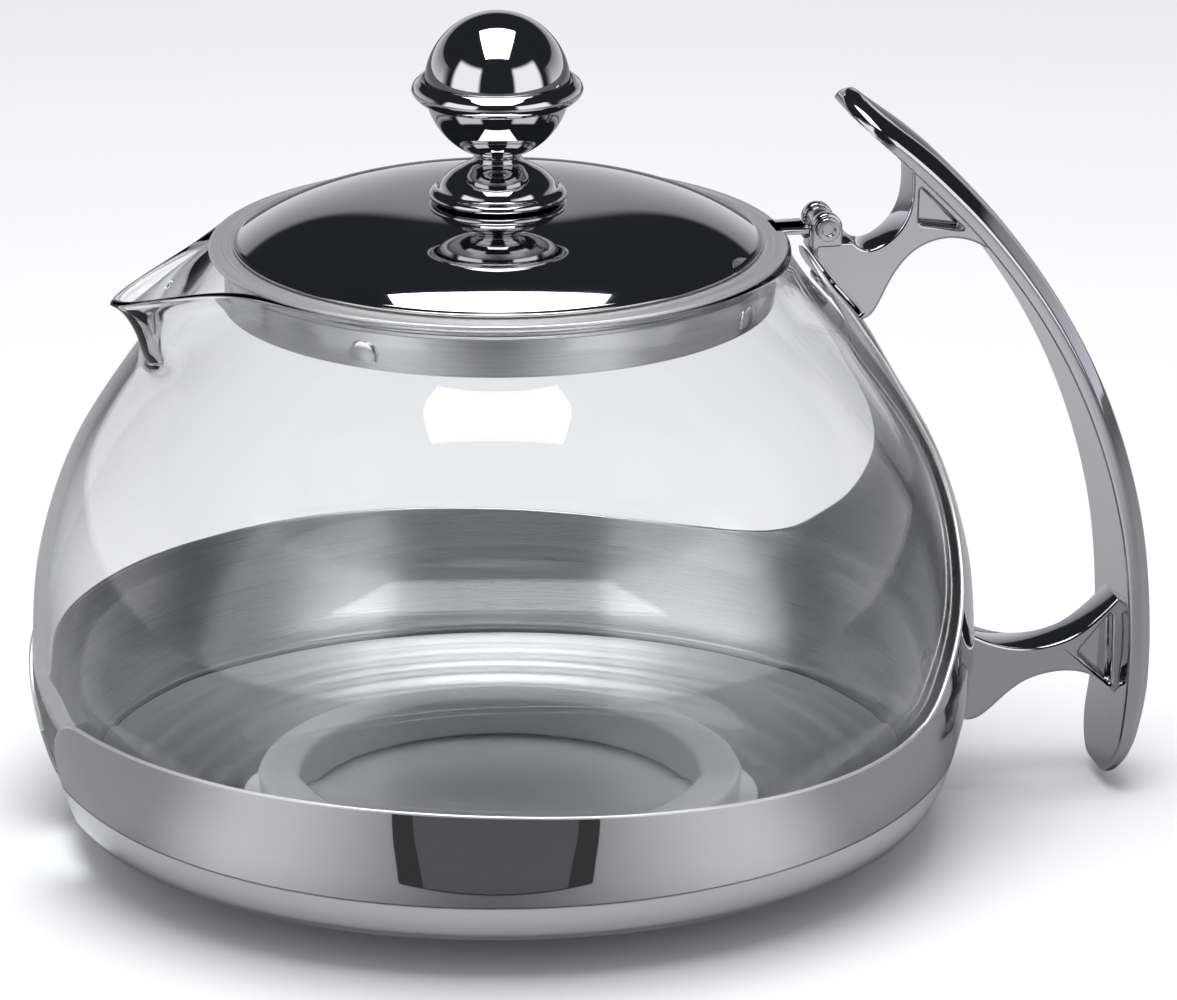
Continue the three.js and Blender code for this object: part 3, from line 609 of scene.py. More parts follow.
def skin(name, rows, finishes, pick=lambda row, i, count: 0):
    """A closed body through rows of points, each row a closed loop of the same length."""
    count = len(rows[0])
    points = [p for row in rows for p in row]
    faces, marks = [], []
    for r in range(len(rows) - 1):
        for i in range(count):
            j = (i + 1) % count
            faces.append((r * count + i, r * count + j, (r + 1) * count + j, (r + 1) * count + i))
            marks.append(pick(r, i, count))
    for start in (0, (len(rows) - 1) * count):
        for i in range(count // 2 - 1):
            faces.append((start + i, start + i + 1, start + count - 2 - i, start + count - 1 - i))
            marks.append(0)
    mesh = bpy.data.meshes.new(name)
    mesh.from_pydata([Vector(p) * MM for p in points], [], faces)
    for finish in finishes:
        mesh.materials.append(finish)
    mesh.polygons.foreach_set("material_index", marks)
    mesh.polygons.foreach_set("use_smooth", [True] * len(faces))
    made = bpy.data.objects.new(name, mesh)
    bpy.context.scene.collection.objects.link(made)
    return outward(made)


def shell_rows():
    edge = 180 - NOTCH_HALF_ANGLE
    angles = [a * 1.0 for a in range(-160, 161)]
    close = [edge - NOTCH_CORNER * 1.05 * (1 - math.sin(i / 22 * math.pi / 2)) for i in range(23)]
    angles = sorted([-a for a in close] + angles + close)
    rows = []
    for angle in angles:
        top = edge_height(abs(angle))
        turn = math.radians(angle)
        outer, inner = [], []
        for row in range(SHELL_ROWS + 1):
            share = row / SHELL_ROWS
            # rows lie closer together near the upper edge, which is rounded
            z = SEAM_Z + (top - SEAM_Z) * (1 - (1 - share) ** 1.6)
            inside, outside = radii(z)
            lip = 0.25 * smooth_step(share, 0.97, 1)
            outer.append((outside - lip, z))
            inner.append((inside + lip, z))
        loop = outer[::-1] + inner
        rows.append([(r * math.cos(turn), r * math.sin(turn), z) for r, z in loop])
    return rows


def shell_finish(row, i, count):
    """Mirror outside, satin inside, and a duller ground edge along the top."""
    if i in (count - 1, 0, 1):
        return 2
    return 1 if i >= count // 2 else 0


base_shell = skin("shell_pressed", shell_rows(), [mirror_steel, satin_inside, satin_rim],
                  shell_finish)
belongs(base_shell, "pot", "mirror_steel", "base_shell")

# %% [markdown]
# ## Base pan and cushion
#
# A shallow pan closes the shell underneath and gives it a flat foot. Rings pressed into its slope
# stiffen it, and inside it is satin, with a blasted middle. Between it and the glass lies a ring of
# silicone. Both are turned pieces.

# %% Base pan and cushion
PAN_EDGE, PAN_THICKNESS = SEAM_RADIUS - 0.4, 0.8
PAN_RING_PITCH, PAN_RING_DEPTH, STEPS_PER_RING = 4.5, 0.45, 8
PAN_FOOT_RADIUS, SLOPE_START, BLASTED_RADIUS = 44, 46, 32
PAN_LIP_RADIUS, PAN_LIP_Z = PAN_EDGE + 0.4, SEAM_Z - 0.12
pan_slope = Curve([
    (PAN_FOOT_RADIUS, 0), (SLOPE_START, 0.25), (54, 2.3), (PAN_EDGE - 6, 4.6), (PAN_EDGE - 2, 5.6),
], 0.5)


def pan_height(radius):
    """Underside of the pan: a flat foot, then a slope stiffened by pressed rings."""
    if radius < PAN_FOOT_RADIUS:
        return 0
    wave = 0.5 - 0.5 * math.cos((radius - PAN_FOOT_RADIUS) * math.tau / PAN_RING_PITCH)
    return pan_slope.other_at(radius, 0) + PAN_RING_DEPTH * wave


ring_steps = int(STEPS_PER_RING * (PAN_EDGE - SLOPE_START) / PAN_RING_PITCH)
pan_radii = [PAN_FOOT_RADIUS - 1]
pan_radii += [PAN_FOOT_RADIUS + i * PAN_RING_PITCH / STEPS_PER_RING for i in range(ring_steps)]
pan_outside = [(r, pan_height(r)) for r in pan_radii] + [(PAN_LIP_RADIUS, PAN_LIP_Z)]
pan_inside = [(r - 0.16, z + PAN_THICKNESS) for r, z in pan_outside[:-1]]
pan_rim = [(PAN_LIP_RADIUS - PAN_THICKNESS, PAN_LIP_Z)]
pan = softened([(0, 0)] + pan_outside + pan_rim + pan_inside[::-1] + [(0, PAN_THICKNESS)], 0.5)
pan_pressed = turned("pan_pressed", pan, mirror_steel)
refinished(pan_pressed, satin_pan,
           lambda radius, z: radius < PAN_EDGE - 1 and z > pan_height(radius) + PAN_THICKNESS / 2)
refinished(pan_pressed, blasted_pan,
           lambda radius, z: radius < BLASTED_RADIUS and z > PAN_THICKNESS / 2)
belongs(pan_pressed, "pot", "satin_steel", "base_pan")

ring_section = softened([(32.5, 1.1), (39.5, 1.1), (39.5, 7.7), (32.5, 7.7)], 1.0, closed=True)
cushion = turned("cushion_moulded", closed(ring_section), silicone)
belongs(cushion, "pot", "silicone", "cushion_ring")

# %% [markdown]
# ## Handle
#
# The grip is a bar of one section that follows a curve: flat towards the hand's palm, crowned on
# the back, with a bevel between. Its ends are rounded off. The two brackets are plates whose edges
# get a small bevel, because a casting has no sharp edge and chrome shows every one as a bright
# line. Triangular pockets are cut from both sides.

# %% Grip
GRIP_WIDTH, GRIP_THICKNESS, END_THICKNESS, GRIP_SIDE, GRIP_BEVEL = 21.5, 4.7, 3.4, 2.1, 2.6
GRIP_ROUND_SHARE, GRIP_STEPS = 0.07, 150
grip_curve = Curve([
    (55.2, 118.4), (65, 109.2), (77.5, 96), (88.5, 80.3), (96.2, 64), (101.2, 46), (102.9, 28),
    (102.3, 14), (100.2, 1.6),
], power=0.5)


def even_stations(curve, fine=1200):
    """Points and lengths along a curve, so that a share of its length can be looked up."""
    points = curve.sampled(fine)
    lengths = [0.0]
    for p, q in zip(points, points[1:]):
        lengths.append(lengths[-1] + (q - p).length)
    return points, lengths


grip_points, grip_lengths = even_stations(grip_curve)


def on_grip(share):
    target = share * grip_lengths[-1]
    i = next((k for k, at in enumerate(grip_lengths) if at >= target), len(grip_lengths) - 1)
    i = min(max(i, 1), len(grip_points) - 2)
    step = grip_lengths[i] - grip_lengths[i - 1]
    t = (target - grip_lengths[i - 1]) / step
    along = (grip_points[i + 1] - grip_points[i - 1]).normalized()
    return grip_points[i - 1].lerp(grip_points[i], t), along


def grip_section(share):
    base, along = on_grip(share)
    out = Vector((-along.y, along.x))
    from_end = min(share, 1 - share)
    inward = min(from_end, GRIP_ROUND_SHARE) / GRIP_ROUND_SHARE
    half = GRIP_WIDTH / 2 * max(math.sqrt(max(1 - (1 - inward) ** 2, 0)), 0.10)
    mix = smooth_step(from_end, 0, 0.14)
    thick = END_THICKNESS + (GRIP_THICKNESS - END_THICKNESS) * mix
    bevel = min(GRIP_BEVEL, half * 0.5)
    side = GRIP_SIDE * thick / GRIP_THICKNESS
    section = [
        (-half, 0), (half, 0), (half, side), (half - bevel, thick - 0.4), (half * 0.35, thick),
        (-half * 0.35, thick), (-half + bevel, thick - 0.4), (-half, side),
    ]
    # the very tip also rounds off through its thickness
    tip = min(from_end * grip_lengths[-1] / 1.5, 1)
    pinch = max(math.sqrt(max(1 - (1 - tip) ** 2, 0)), 0.25)
    loop = []
    for y, rise in softened(section, 0.7, closed=True, steps=5):
        rise = thick / 2 + (rise - thick / 2) * pinch
        spot = base + out * rise
        loop.append((spot.x, y, spot.y))
    return loop


def grip_shares():
    ends = [GRIP_ROUND_SHARE * (1 - math.cos(i / 30 * math.pi / 2)) for i in range(30)]
    middle = [GRIP_ROUND_SHARE + (1 - 2 * GRIP_ROUND_SHARE) * i / GRIP_STEPS
              for i in range(GRIP_STEPS + 1)]
    return ends + middle + [1 - e for e in reversed(ends)]


def same_length(rows):
    """The corner rule can drop an arc where a section is tiny, so such rows are left out."""
    usual = max(set(map(len, rows)), key=list(map(len, rows)).count)
    return [row for row in rows if len(row) == usual]


# %% Plates with soft edges
def plate(name, outline, low_y, high_y, bevel, cutters=()):
    """A plate in the XZ plane between two Y values, in millimetres."""
    work = bmesh.new()
    face = work.faces.new([work.verts.new((x * MM, low_y * MM, z * MM)) for x, z in outline])
    grown = bmesh.ops.extrude_face_region(work, geom=[face])["geom"]
    moved = [g for g in grown if isinstance(g, bmesh.types.BMVert)]
    bmesh.ops.translate(work, verts=moved, vec=(0, (high_y - low_y) * MM, 0))
    bmesh.ops.recalc_face_normals(work, faces=work.faces)
    mesh = bpy.data.meshes.new(name)
    work.to_mesh(mesh)
    work.free()
    made = bpy.data.objects.new(name, mesh)
    bpy.context.scene.collection.objects.link(made)
    for cutter in cutters:
        pocket = made.modifiers.new("pocket", "BOOLEAN")
        pocket.operation, pocket.solver, pocket.object = "DIFFERENCE", "EXACT", cutter
    if bevel:
        edge = made.modifiers.new("edge", "BEVEL")
        edge.width, edge.segments, edge.use_clamp_overlap = bevel * MM, 3, False
        edge.limit_method, edge.angle_limit = "ANGLE", math.radians(40)
        edge.harden_normals = False
    graph = bpy.context.evaluated_depsgraph_get()
    result = bpy.data.meshes.new_from_object(made.evaluated_get(graph), depsgraph=graph)
    made.modifiers.clear()
    made.data = result
    return made


def joined(name, parts, finish):
    """Several shapes as one mesh object; real corners and many-sided flat faces stay sharp."""
    work = bmesh.new()
    for part in parts:
        work.from_mesh(part.data)
        bpy.data.objects.remove(part)
    for face in work.faces:
        face.smooth = len(face.verts) <= 4
        face.material_index = 0
    for edge in work.edges:
        if len(edge.link_faces) == 2 and edge.calc_face_angle(0) > math.radians(35):
            edge.smooth = False
    mesh = bpy.data.meshes.new(name)
    work.to_mesh(mesh)
    work.free()
    mesh.materials.append(finish)
    made = bpy.data.objects.new(name, mesh)
    bpy.context.scene.collection.objects.link(made)
    print(f"{name}: {len(mesh.polygons)} faces")
    return made


# %% Brackets
BRACKET_WIDTH, POCKET_DEPTH, SEAT_GAP = 8.2, 2.6, 0.3
LUG_RADIUS, SLOT_WIDTH, HINGE_X, HINGE_Z = 2.5, 4.4, 53, 98.4


def along_wall(low_z, high_z, steps=16):
    """Points up the outside of the shell, a hair away from it."""
    heights = [low_z + (high_z - low_z) * i / steps for i in range(steps + 1)]
    return [Vector((outer_radius(z) + SEAT_GAP, z)) for z in heights]


def upper_bracket():
    outline = along_wall(83.9, 94.0)
    outline += [Vector(p) for p in ((51.0, 95.2), (51.0, 96), (57.3, 96))]
    outline += bezier((57.3, 96), (59, 93.6), (62, 95.1))
    outline += bezier((62, 95.1), (66, 97.4), (67.6, 101), (66.8, 108), steps=20)
    outline += [Vector(p) for p in ((70, 107), (81.5, 94), (80, 93))]
    outline += bezier((80, 93), (76, 96.4), (69.5, 96.6), (65.6, 92), steps=20)
    outline += bezier((65.6, 92), (62.6, 88.6), (62, 84.6), (60, 83.2))
    return outline + bezier((60, 83.2), (58.8, 82.5), (57.7, 82.9))


def lower_bracket():
    outline = along_wall(14.2, 28.4)
    outline += bezier(outline[-1], (82, 25), (88, 23.4), (94.6, 25.8), steps=22)
    outline += bezier((94.6, 25.8), (98.6, 27.6), (103.5, 33))
    outline += [Vector((103.5, 14))]
    outline += bezier((103.5, 14), (100, 20.4), (94, 21), (88.5, 19.4), steps=20)
    outline += bezier((88.5, 19.4), (84, 18), (81.5, 13.6), (78.6, 12.9), steps=18)
    return outline + bezier((78.6, 12.9), (77.2, 12.6), (76.0, 13.2))


def lug(side):
    turn = [math.pi * i / 24 for i in range(25)]
    top = [Vector((HINGE_X + LUG_RADIUS * math.cos(a), HINGE_Z + LUG_RADIUS * math.sin(a)))
           for a in turn]
    outline = top + [Vector((50.5, 95.1)), Vector((55.5, 95.1))]
    low, high = sorted((side * SLOT_WIDTH / 2, side * BRACKET_WIDTH / 2))
    return plate(f"lug_{side}", outline, low, high, 0.3)


def pocket_cutters(corners):
    outline = softened(corners, 1.0, closed=True, steps=5)
    made = []
    for side in (-1, 1):
        low, high = sorted((side * (BRACKET_WIDTH / 2 - POCKET_DEPTH), side * BRACKET_WIDTH))
        made.append(plate(f"pocket_{side}", outline, low, high, 0))
    return made


half_width = BRACKET_WIDTH / 2
upper_cutters = pocket_cutters([(68.3, 104.6), (68.1, 98.2), (75.8, 96.9)])
lower_cutters = pocket_cutters([(96, 23.2), (101.9, 30), (101.9, 17)])
grip = skin("grip", same_length([grip_section(s) for s in grip_shares()]), [chromed_casting])
handle_parts = [
    grip,
    plate("upper", upper_bracket(), -half_width, half_width, 0.45, upper_cutters),
    plate("lower", lower_bracket(), -half_width, half_width, 0.45, lower_cutters),
    lug(-1), lug(1),
]
for cutter in upper_cutters + lower_cutters:
    bpy.data.objects.remove(cutter)
handle = joined("handle_cast", handle_parts, chromed_casting)
belongs(handle, "pot", "chromed_casting", "handle")

# %% [markdown]
# ## Screws and pin
#
# Two pan-head screws come through the shell from the inside and one hollow-ended pin carries the
# lid. They are turned upright and then laid along their own direction, in the mesh.

# %% Screws and pin
def laid(made, place, direction):
    """Moves a piece that was turned upright so that its axis runs along direction."""
    turn = Vector((0, 0, 1)).rotation_difference(Vector(direction)).to_matrix().to_4x4()
    made.data.transform(Matrix.Translation(Vector(place) * MM) @ turn)
    return made


def bracket_screw(name, z, length):
    slope = wall_radius(z + 0.5) - wall_radius(z - 0.5)
    profile = softened([(0, -0.5), (1.0, -0.8), (1.0, -1.2), (2.2, -1.2), (3.0, -0.7), (3.0, -0.3),
                        (1.5, -0.3), (1.5, length - 0.5), (1.0, length), (0, length)], 0.2)
    made = turned(name, profile, screw_steel, columns=48)
    return laid(made, (wall_radius(z), 0, z), (1, 0, -slope))


belongs(bracket_screw("upper_screw_turned", 88.4, 6), "pot", "screw_steel", "upper_bracket_screw")
belongs(bracket_screw("lower_screw_turned", 20.5, 9), "pot", "screw_steel", "lower_bracket_screw")

pin_half = BRACKET_WIDTH / 2 + 0.3
pin_end = [(0, pin_half + 0.1), (1.0, pin_half + 0.1), (1.1, pin_half + 0.7),
           (1.95, pin_half + 0.6), (1.95, pin_half), (1.0, pin_half)]
pin_profile = softened([(r, -z) for r, z in pin_end] + pin_end[::-1], 0.18)
pin = laid(turned("pin_riveted", pin_profile, screw_steel, columns=48),
           (HINGE_X, 0, HINGE_Z), (0, 1, 0))
belongs(pin, "pot", "screw_steel", "hinge_pin")

# %% [markdown]
# ## Lid collar
#
# The collar is spun from sheet: a flat flange with a rolled edge, and a skirt that drops into the
# glass neck. Four small bumps pressed around the skirt keep the lid centred. They follow a rule,
# so a second Geometry Nodes tree sets one shape at even steps round a ring.

# %% The ring-of-bumps tree
def bump_ring_tree():
    tree = bpy.data.node_groups.new("ring_of_bumps", "GeometryNodeTree")
    for label, kind in (("Bump", "Geometry"), ("Count", "Int"), ("Ring Radius", "Float"),
                        ("Height", "Float"), ("First Angle", "Float"), ("Finish", "Material")):
        tree.interface.new_socket(label, in_out="INPUT", socket_type="NodeSocket" + kind)
    tree.interface.new_socket("Bumps", in_out="OUTPUT", socket_type="NodeSocketGeometry")
    given, out = node(tree, "NodeGroupInput"), node(tree, "NodeGroupOutput")
    spots = node(tree, "GeometryNodeMeshLine", {"Count": given.outputs["Count"]})
    index = node(tree, "GeometryNodeInputIndex").outputs[0]
    step = math_node(tree, "DIVIDE", math.tau, given.outputs["Count"])
    angle = math_node(tree, "ADD", math_node(tree, "MULTIPLY", index, step),
                      given.outputs["First Angle"])
    place = node(tree, "ShaderNodeCombineXYZ", {
        "X": math_node(tree, "MULTIPLY", math_node(tree, "COSINE", angle),
                       given.outputs["Ring Radius"]),
        "Y": math_node(tree, "MULTIPLY", math_node(tree, "SINE", angle),
                       given.outputs["Ring Radius"]),
        "Z": given.outputs["Height"],
    }).outputs[0]
    moved = node(tree, "GeometryNodeSetPosition", {
        "Geometry": spots.outputs["Mesh"], "Position": place,
    })
    turn = node(tree, "ShaderNodeCombineXYZ", {"Z": angle}).outputs[0]
    copies = node(tree, "GeometryNodeInstanceOnPoints", {
        "Points": moved.outputs[0], "Instance": given.outputs["Bump"], "Rotation": turn,
    })
    real = node(tree, "GeometryNodeRealizeInstances", {"Geometry": copies.outputs[0]})
    soft = node(tree, "GeometryNodeSetShadeSmooth", {"Geometry": real.outputs[0]})
    dressed = node(tree, "GeometryNodeSetMaterial", {
        "Geometry": soft.outputs[0], "Material": given.outputs["Finish"],
    })
    tree.links.new(dressed.outputs[0], out.inputs[0])
    return tree


# how far a bump stands out, spreads to each side and rises, in millimetres, and the share of its
# rise at which it is cut below
BUMP_OUT, BUMP_SIDE, BUMP_RISE, BUMP_CUT = 0.55, 2.5, 2.4, 0.55


def bump_shape():
    """A pressed bump: rounded above, cut straight below, pointing along +X."""
    work = bmesh.new()
    bmesh.ops.create_uvsphere(work, u_segments=28, v_segments=16, radius=MM)
    for vertex in work.verts:
        x, y, z = vertex.co
        vertex.co = Vector((x * BUMP_OUT, y * BUMP_SIDE, max(z, -BUMP_CUT * MM) * BUMP_RISE))
    mesh = bpy.data.meshes.new("bump")
    work.to_mesh(mesh)
    work.free()
    return mesh


# %% Collar
FLANGE_RADIUS, FLANGE_BORE, FLANGE_TOP_Z, FLANGE_SHEET = 46.1, 40.5, 98.3, 0.8
SKIRT_RADIUS, SKIRT_BOTTOM_Z, SKIRT_SHEET = 43.6, 89, 0.6
BUMP_COUNT, BUMP_Z, FIRST_BUMP = 4, 91.4, 50.5
flange_low = FLANGE_TOP_Z - FLANGE_SHEET
collar_section = softened([
    (SKIRT_RADIUS - SKIRT_SHEET, SKIRT_BOTTOM_Z), (SKIRT_RADIUS, SKIRT_BOTTOM_Z),
    (SKIRT_RADIUS, 95.6), (SKIRT_RADIUS + 0.5, 96.2), (SKIRT_RADIUS + 0.5, flange_low),
    (FLANGE_RADIUS, flange_low), (FLANGE_RADIUS, FLANGE_TOP_Z), (FLANGE_BORE, FLANGE_TOP_Z),
    (FLANGE_BORE, flange_low), (SKIRT_RADIUS - SKIRT_SHEET, flange_low),
], 0.3, closed=True)
collar = refinished(turned("collar_spun", closed(collar_section), satin_skirt, columns=180),
                    satin_rim, lambda radius, z: z > flange_low - 0.1)
belongs(collar, "lid", "satin_steel", "lid_collar")

bumps = outward(through_tree("collar_bumps", bump_shape(), bump_ring_tree(), {
    "Count": BUMP_COUNT, "Ring Radius": SKIRT_RADIUS * MM, "Height": BUMP_Z * MM,
    "First Angle": math.radians(FIRST_BUMP), "Finish": satin_skirt,
}))
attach(bumps, "lid")

# %% Tongue and knuckle
KNUCKLE_RADIUS, KNUCKLE_WIDTH, TONGUE_WIDTH = 2.15, 3.8, 6.8
tongue_start, tongue_end = FLANGE_RADIUS - 1.5, HINGE_X - LUG_RADIUS - 0.3


def strip(name, x_start, x_end, width):
    outline = [Vector(p) for p in ((x_start, flange_low), (x_end, flange_low),
                                   (x_end, FLANGE_TOP_Z), (x_start, FLANGE_TOP_Z))]
    return plate(name, outline, -width / 2, width / 2, 0.15)


knuckle_turn = [math.tau * i / 40 for i in range(40)]
knuckle_outline = [Vector((HINGE_X + KNUCKLE_RADIUS * math.cos(a),
                           HINGE_Z + KNUCKLE_RADIUS * math.sin(a))) for a in knuckle_turn]
hinge_leaf = joined("hinge_leaf", [
    strip("tongue", tongue_start, tongue_end, TONGUE_WIDTH),
    strip("leaf", tongue_start, HINGE_X - 1.3, KNUCKLE_WIDTH),
    plate("knuckle", knuckle_outline, -KNUCKLE_WIDTH / 2, KNUCKLE_WIDTH / 2, 0.2),
], screw_steel)
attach(hinge_leaf, "lid")

# %% [markdown]
# ## Dome and knob
#
# The dome is a spun cap, nearly flat in the middle and falling faster towards its edge. The knob
# is stacked from a bell-shaped foot, two pressed cups and the band that hides their seam. All of
# them are turned profiles with a mirror finish.

# %% Dome
DOME_RADIUS, DOME_RISE, DOME_POWER, DOME_SHEET = 42.3, 6.9, 4.2, 0.6
dome_base, hole = FLANGE_TOP_Z + 0.3, 1.8
dome_top = dome_base + DOME_RISE


def dome_height(radius):
    return dome_base + DOME_RISE * (1 - (radius / DOME_RADIUS) ** DOME_POWER)


dome_radii = [hole + (DOME_RADIUS - 0.5 - hole) * i / 70 for i in range(71)]
dome_outside = [Vector((r, dome_height(r))) for r in dome_radii]
dome_inside = [Vector((r, dome_height(r) - DOME_SHEET)) for r in dome_radii if r < DOME_RADIUS - 1]
rolled = [Vector((DOME_RADIUS - 0.15, dome_base + 0.5)), Vector((DOME_RADIUS, dome_base + 0.25)),
          Vector((DOME_RADIUS - 0.1, dome_base)), Vector((DOME_RADIUS - 0.7, dome_base))]
dome = turned("dome_spun", closed(dome_outside + rolled + dome_inside[::-1]), mirror_steel, 180)
belongs(dome, "lid", "mirror_steel", "lid_dome")

# %% Knob
BALL_RADIUS, BALL_Z, BAND_RADIUS, BAND_Z, FOOT_HEIGHT = 11.6, 124.4, 13.7, 123.6, 6.9
foot_low = dome_top + 0.3
foot_top = foot_low + FOOT_HEIGHT
foot_curve = Curve([(9.6, 1.7), (8.9, 2.9), (7.4, 4.2), (5.6, 5.2), (4.3, 6), (3.7, FOOT_HEIGHT)])
foot = [Vector((hole, foot_low)), Vector((10.4, foot_low)), Vector((10.9, foot_low + 0.3)),
        Vector((11, foot_low + 0.7)), Vector((10.8, foot_low + 1.1)),
        Vector((10.3, foot_low + 1.35)), Vector((9.8, foot_low + 1.5))]
foot += [p + Vector((0, foot_low)) for p in foot_curve.sampled(24)] + [Vector((hole, foot_top))]
belongs(turned("knob_foot_turned", closed(foot), mirror_steel), "lid", "mirror_steel", "knob_foot")


def ball_radius(z):
    stretch = 1.03 if z < BALL_Z else 1
    share = min(abs(z - BALL_Z) / (BALL_RADIUS * stretch), 1)
    return BALL_RADIUS * math.sqrt(1 - share * share)


cup_low, cup_high = foot_top + 0.3, BAND_Z - 0.3
heights = [cup_low + 0.6 + (cup_high - cup_low - 0.6) * i / 26 for i in range(27)]
cup = [Vector((hole, cup_low)), Vector((3.6, cup_low)), Vector((3.9, cup_low + 0.3))]
cup += [Vector((max(ball_radius(z), 4.2), z)) for z in heights]
cup += [Vector((max(ball_radius(z) - 0.7, 3.4), z)) for z in heights[::-1] if z > cup_low + 1.3]
cup.append(Vector((hole, cup_low + 1.2)))
belongs(turned("knob_lower_pressed", closed(cup), mirror_steel), "lid", "mirror_steel",
        "knob_lower_cup")


def arc_up(radius, steps=32):
    start = math.asin((BAND_Z + 0.3 - BALL_Z) / radius)
    turns = [start + (math.pi / 2 - start) * i / steps for i in range(steps + 1)]
    points = [Vector((radius * math.cos(a), BALL_Z + radius * math.sin(a))) for a in turns]
    points[-1].x = 0
    return points


cap = arc_up(BALL_RADIUS - 0.7)[::-1] + arc_up(BALL_RADIUS)
belongs(turned("knob_upper_pressed", cap, mirror_steel), "lid", "mirror_steel", "knob_upper_cup")

band = softened([
    (BALL_RADIUS + 0.3, -1.8), (12.4, -1.7), (13.3, -0.9), (BAND_RADIUS, 0), (13.3, 0.9),
    (12.4, 1.7), (BALL_RADIUS + 0.3, 1.8),
], 0.5, closed=True)
band = [p + Vector((0, BAND_Z)) for p in band]
belongs(turned("knob_band_turned", closed(band), mirror_steel), "lid", "mirror_steel", "knob_band")

# %% Knob fastening
insert_low, washer_top = foot_top + 2.2, dome_top - DOME_SHEET - 0.3
insert_section = softened([(hole, insert_low), (3.4, insert_low), (3.4, insert_low + 4.4),
                           (hole, insert_low + 4.4)], 0.3, closed=True)
belongs(turned("insert_turned", closed(insert_section), screw_steel, 48), "lid", "screw_steel",
        "knob_insert")
washer_section = softened([(hole, washer_top - 0.8), (4.5, washer_top - 0.8), (4.5, washer_top),
                           (hole, washer_top)], 0.2, closed=True)
belongs(turned("washer_stamped", closed(washer_section), screw_steel, 64), "lid", "screw_steel",
        "knob_washer")
head_top = washer_top - 1.1
knob_screw = softened([
    (0, head_top - 0.9), (1.1, head_top - 1.2), (1.2, head_top - 2), (2.4, head_top - 2),
    (3, head_top - 1.3), (3, head_top), (1.5, head_top), (1.5, foot_top + 5.6),
    (0, foot_top + 6.2),
], 0.2)
belongs(turned("knob_screw_turned", knob_screw, screw_steel, 48), "lid", "screw_steel",
        "knob_screw")

# %% [markdown]
# ## Floor and softbox
#
# A wide, plain, pale floor takes the pot's soft shadow. One large softbox hangs overhead, a little
# towards the camera, so that upper faces are bright and shadows stay soft.

# %% Floor
FLOOR_HALF, FLOOR_BELOW = 6, 0.0002
floor_mesh = bpy.data.meshes.new("floor")
floor_mesh.from_pydata([
    (-FLOOR_HALF, -FLOOR_HALF, 0), (FLOOR_HALF, -FLOOR_HALF, 0),
    (FLOOR_HALF, FLOOR_HALF, 0), (-FLOOR_HALF, FLOOR_HALF, 0),
], [], [(0, 1, 2, 3)])
floor = bpy.data.objects.new("floor", floor_mesh)
floor.location.z = -FLOOR_BELOW
bpy.context.scene.collection.objects.link(floor)
floor_paper, _, floor_shader, _ = new_material("floor_paper")
floor_shader.inputs["Base Color"].default_value = (0.86, 0.86, 0.87, 1)
floor_shader.inputs["Roughness"].default_value = 0.7
floor_mesh.materials.append(floor_paper)

# %% Softbox overhead
SOFTBOX_HEIGHT, SOFTBOX_TO_CAMERA, SOFTBOX_WATTS = 0.85, 0.13, 8
POT_MIDDLE_Z = 0.085
across = Vector((math.cos(AZIMUTH), math.sin(AZIMUTH), 0))
forward = Vector((-math.sin(AZIMUTH), math.cos(AZIMUTH), 0))
softbox_data = bpy.data.lights.new("softbox", "AREA")
softbox_data.shape, softbox_data.size, softbox_data.size_y = "RECTANGLE", 0.6, 0.9
softbox_data.energy = SOFTBOX_WATTS
softbox = bpy.data.objects.new("softbox", softbox_data)
bpy.context.scene.collection.objects.link(softbox)
softbox.location = Vector((0, 0, POT_MIDDLE_Z + SOFTBOX_HEIGHT)) - SOFTBOX_TO_CAMERA * forward
softbox.rotation_euler = (0, 0, AZIMUTH)
print("softbox at", [round(v, 3) for v in softbox.location])

# %% [markdown]
# ## Cards for reflections only
#
# Polished steel shows its surroundings more than its own colour. Flat cards just above the floor
# give it painted reflections to mirror: a ring all round, painted in greys like a table top, and a
# dark frame round a grey middle close to the pot. They go beyond what a plain studio would hold.
# Their finish is clear until light has bounced off something glossy, so the camera looks straight
# through them and they show only in reflections. They are laid out once, from the side where the
# main camera stands, and they stay there when another view moves the camera.

# %% A finish that only reflections meet
def card_material(name):
    """A matt finish that is clear to light until it has bounced off something glossy."""
    material, tree, shader, output = new_material(name)
    shader.inputs["Roughness"].default_value = 0.8
    mirrored = math_node(tree, "MINIMUM", node(
        tree, "ShaderNodeLightPath").outputs["Glossy Depth"], 1.0)
    mixed = node(tree, "ShaderNodeMixShader", {
        0: mirrored, 1: node(tree, "ShaderNodeBsdfTransparent").outputs[0], 2: shader.outputs[0],
    })
    tree.links.new(mixed.outputs[0], output.inputs["Surface"])
    return material, tree, shader


def staged_card(name, mesh, material):
    mesh.materials.append(material)
    made = bpy.data.objects.new(name, mesh)
    bpy.context.scene.collection.objects.link(made)


# %% A ring of painted reflections
# degrees from the camera's side, and how pale the painted reflection is there: dark in front,
# pale to both sides, dim beyond and grey behind
PAINTED_REFLECTION_TONES = ((0, 0.2), (42, 0.85), (64, 0.4), (180, 0.65))
REFLECTION_RING_NEAR, REFLECTION_RING_FAR, REFLECTION_RING_Z = 82, 1500, 0.0004


def painted_reflection_ring(near, far, columns=96):
    """A flat ring between two radii in millimetres."""
    work = bmesh.new()
    rings = [[work.verts.new((radius * MM * math.cos(math.tau * i / columns),
                              radius * MM * math.sin(math.tau * i / columns), REFLECTION_RING_Z))
              for i in range(columns)] for radius in (near, far)]
    for i in range(columns):
        j = (i + 1) % columns
        work.faces.new([rings[0][i], rings[1][i], rings[1][j], rings[0][j]])
    mesh = bpy.data.meshes.new("card_painted_reflection")
    work.to_mesh(mesh)
    work.free()
    return mesh


